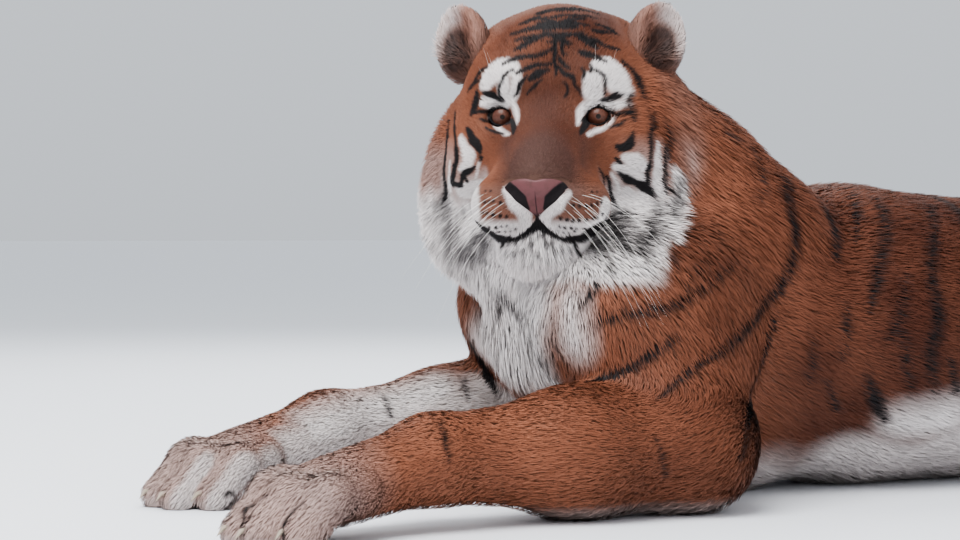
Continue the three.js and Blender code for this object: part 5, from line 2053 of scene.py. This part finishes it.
@dataclass(frozen=True)
class Studio:
    """A pale floor, soft light from above and the camera.

    Args:
        azimuth, elevation: the camera's angles round its target, degrees.
        distance: from the camera to its target, m.
        target: what it looks at, m.
        lens: its focal length, mm.
    """

    azimuth: float = -27.0
    elevation: float = 1.0
    distance: float = 3.0
    target: Place = (-0.368, -0.040, 0.2945)
    lens: float = 90.0

    def build(self) -> None:
        """Puts the floor, the lights, the sky and the camera into the scene."""
        self.floor()
        self.light("key", (-2.0, -1.2, 3.4), size=2.6, power=190)
        self.light("fill", (-0.6, -4.2, 1.6), size=3.0, power=22)
        self.light("back", (0.9, 2.6, 3.0), size=2.8, power=90)
        bpy.context.scene.world = self.sky()
        bpy.context.scene.view_settings.look = "AgX - Medium High Contrast"
        self.camera()

    def sky(self) -> bpy.types.World:
        """A pale sky all round, darker towards the horizon, where it meets the floor without a line."""
        world = bpy.data.worlds.new("studio")
        world.use_nodes = True
        nodes = Nodes(world.node_tree)
        way = nodes.add("ShaderNodeTexCoord").outputs["Generated"]
        rise = nodes.add("ShaderNodeSeparateXYZ", Vector=way).outputs[2]
        share = nodes.math("MULTIPLY", rise, 2.6, clamp=True)
        colour = nodes.mix(share, (0.735, 0.775, 0.83), (0.92, 0.96, 1.0))
        background = world.node_tree.nodes["Background"]
        world.node_tree.links.new(colour, background.inputs[0])
        background.inputs[1].default_value = 0.85
        return world

    def floor(self) -> None:
        """The pale floor, well wider than the view."""
        wide = 60000.0
        corners = np.array([[-wide, -wide, 0], [wide, -wide, 0], [wide, wide, 0], [-wide, wide, 0]])
        piece = new_piece("floor", corners, np.array([[0, 1, 2, 3]]))
        piece.data.materials.append(plain_finish("floor", (0.84, 0.86, 0.90), 0.85))
        piece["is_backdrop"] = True

    def light(self, name: str, place: Place, size: float, power: float) -> None:
        """A square soft light aimed at the target."""
        data = bpy.data.lights.new(name, "AREA")
        data.shape, data.size, data.energy = "SQUARE", size, power
        lamp = bpy.data.objects.new(name, data)
        lamp.location = place
        lamp.rotation_euler = (Vector(self.target) - Vector(place)).to_track_quat("-Z", "Y").to_euler()
        bpy.context.scene.collection.objects.link(lamp)

    def camera(self) -> None:
        """The camera, looking at its target from its angles and distance."""
        a, e = math.radians(self.azimuth), math.radians(self.elevation)
        back = Vector((math.sin(a) * math.cos(e), -math.cos(a) * math.cos(e), math.sin(e)))
        data = bpy.data.cameras.new("camera")
        data.lens, data.sensor_width = self.lens, 36
        camera = bpy.data.objects.new("camera", data)
        camera.location = Vector(self.target) + back * self.distance
        camera.rotation_euler = (-back).to_track_quat("-Z", "Y").to_euler()
        bpy.context.scene.collection.objects.link(camera)
        bpy.context.scene.camera = camera


# ---- The scene ----

FLESH = [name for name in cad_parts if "claw" not in name and not name.startswith("eye_")]


def write_sizes(cad: object) -> None:
    {"cad": plain(cad), "visual": plain(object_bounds())}


def plain(value: object) -> object:
    """Vectors and their lists as plain lists of numbers."""
    if isinstance(value, (list, tuple, Vector)):
        return [plain(v) for v in value]
    return float(value)


@dataclass(frozen=True)
class Hide:
    """The skin as a piece, with the coat's markings.

    Args:
        skin: the net.
        along: the place along the hair whose colour it takes.
        tone: its brightness, beside 1 for the hair's; lower, as painted shade in the gaps between the blades.
    """

    skin: Skin
    along: float = 0.35
    tone: float = 0.75

    def build(self, markings: Markings, material: Material) -> Piece:
        """The piece, in place of the nodes of flesh."""
        skin = self.skin
        marks = markings.at(skin.points, skin.normals, skin.parts.argmax(1))
        shade, marks[:, 3] = marks[:, 3].copy(), self.along
        # The lower tone is painted shade between the blades; the shade layer holds painted shade on the
        # flanks.
        layers = {"marks": marks, "tone": np.full(len(marks), self.tone), "shade": shade}
        piece = new_piece("skin", skin.points, skin.faces, None, layers)
        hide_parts(*FLESH)
        return dressed(piece, material)


def dress_claws() -> None:
    """Gives the claws a finish of smooth horn."""
    horn = plain_finish("claw", (0.45, 0.38, 0.30), 0.35)
    claws = [node for name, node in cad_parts.items() if "claw" in name]
    for claw in claws:
        for slot in claw.material_slots:
            slot.material = horn
    LOG.info("claws: %d", len(claws))


def main() -> None:
    """Builds the whole scene."""
    logging.basicConfig(level=logging.INFO, format="%(name)s: %(message)s")
    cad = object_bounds()
    tiger = Tiger()
    skin = Skin(tiger)
    LOG.info("skin: %d faces", len(skin.faces))
    markings = Markings(tiger)
    pelage = Pelage()
    Hide(skin).build(markings, pelage.finish("hide", rough=0.8))
    coat, face_coat = pelage.finish("coat", 0.6, lean=0.68), pelage.finish("face_coat", 0.6, lean=0.62)
    Blades(skin, markings).pieces(coat, face_coat)
    eye = EyeFinish().build()
    for side in (LEFT, RIGHT):
        Eye(side, tiger.face).build(eye)
    Nose(tiger).build(NoseFinish().build())
    Whiskers(tiger).build(plain_finish("whisker", (0.85, 0.82, 0.78), 0.4))
    dress_claws()
    Studio().build()
    write_sizes(cad)


if __name__ == "__main__":
    main()
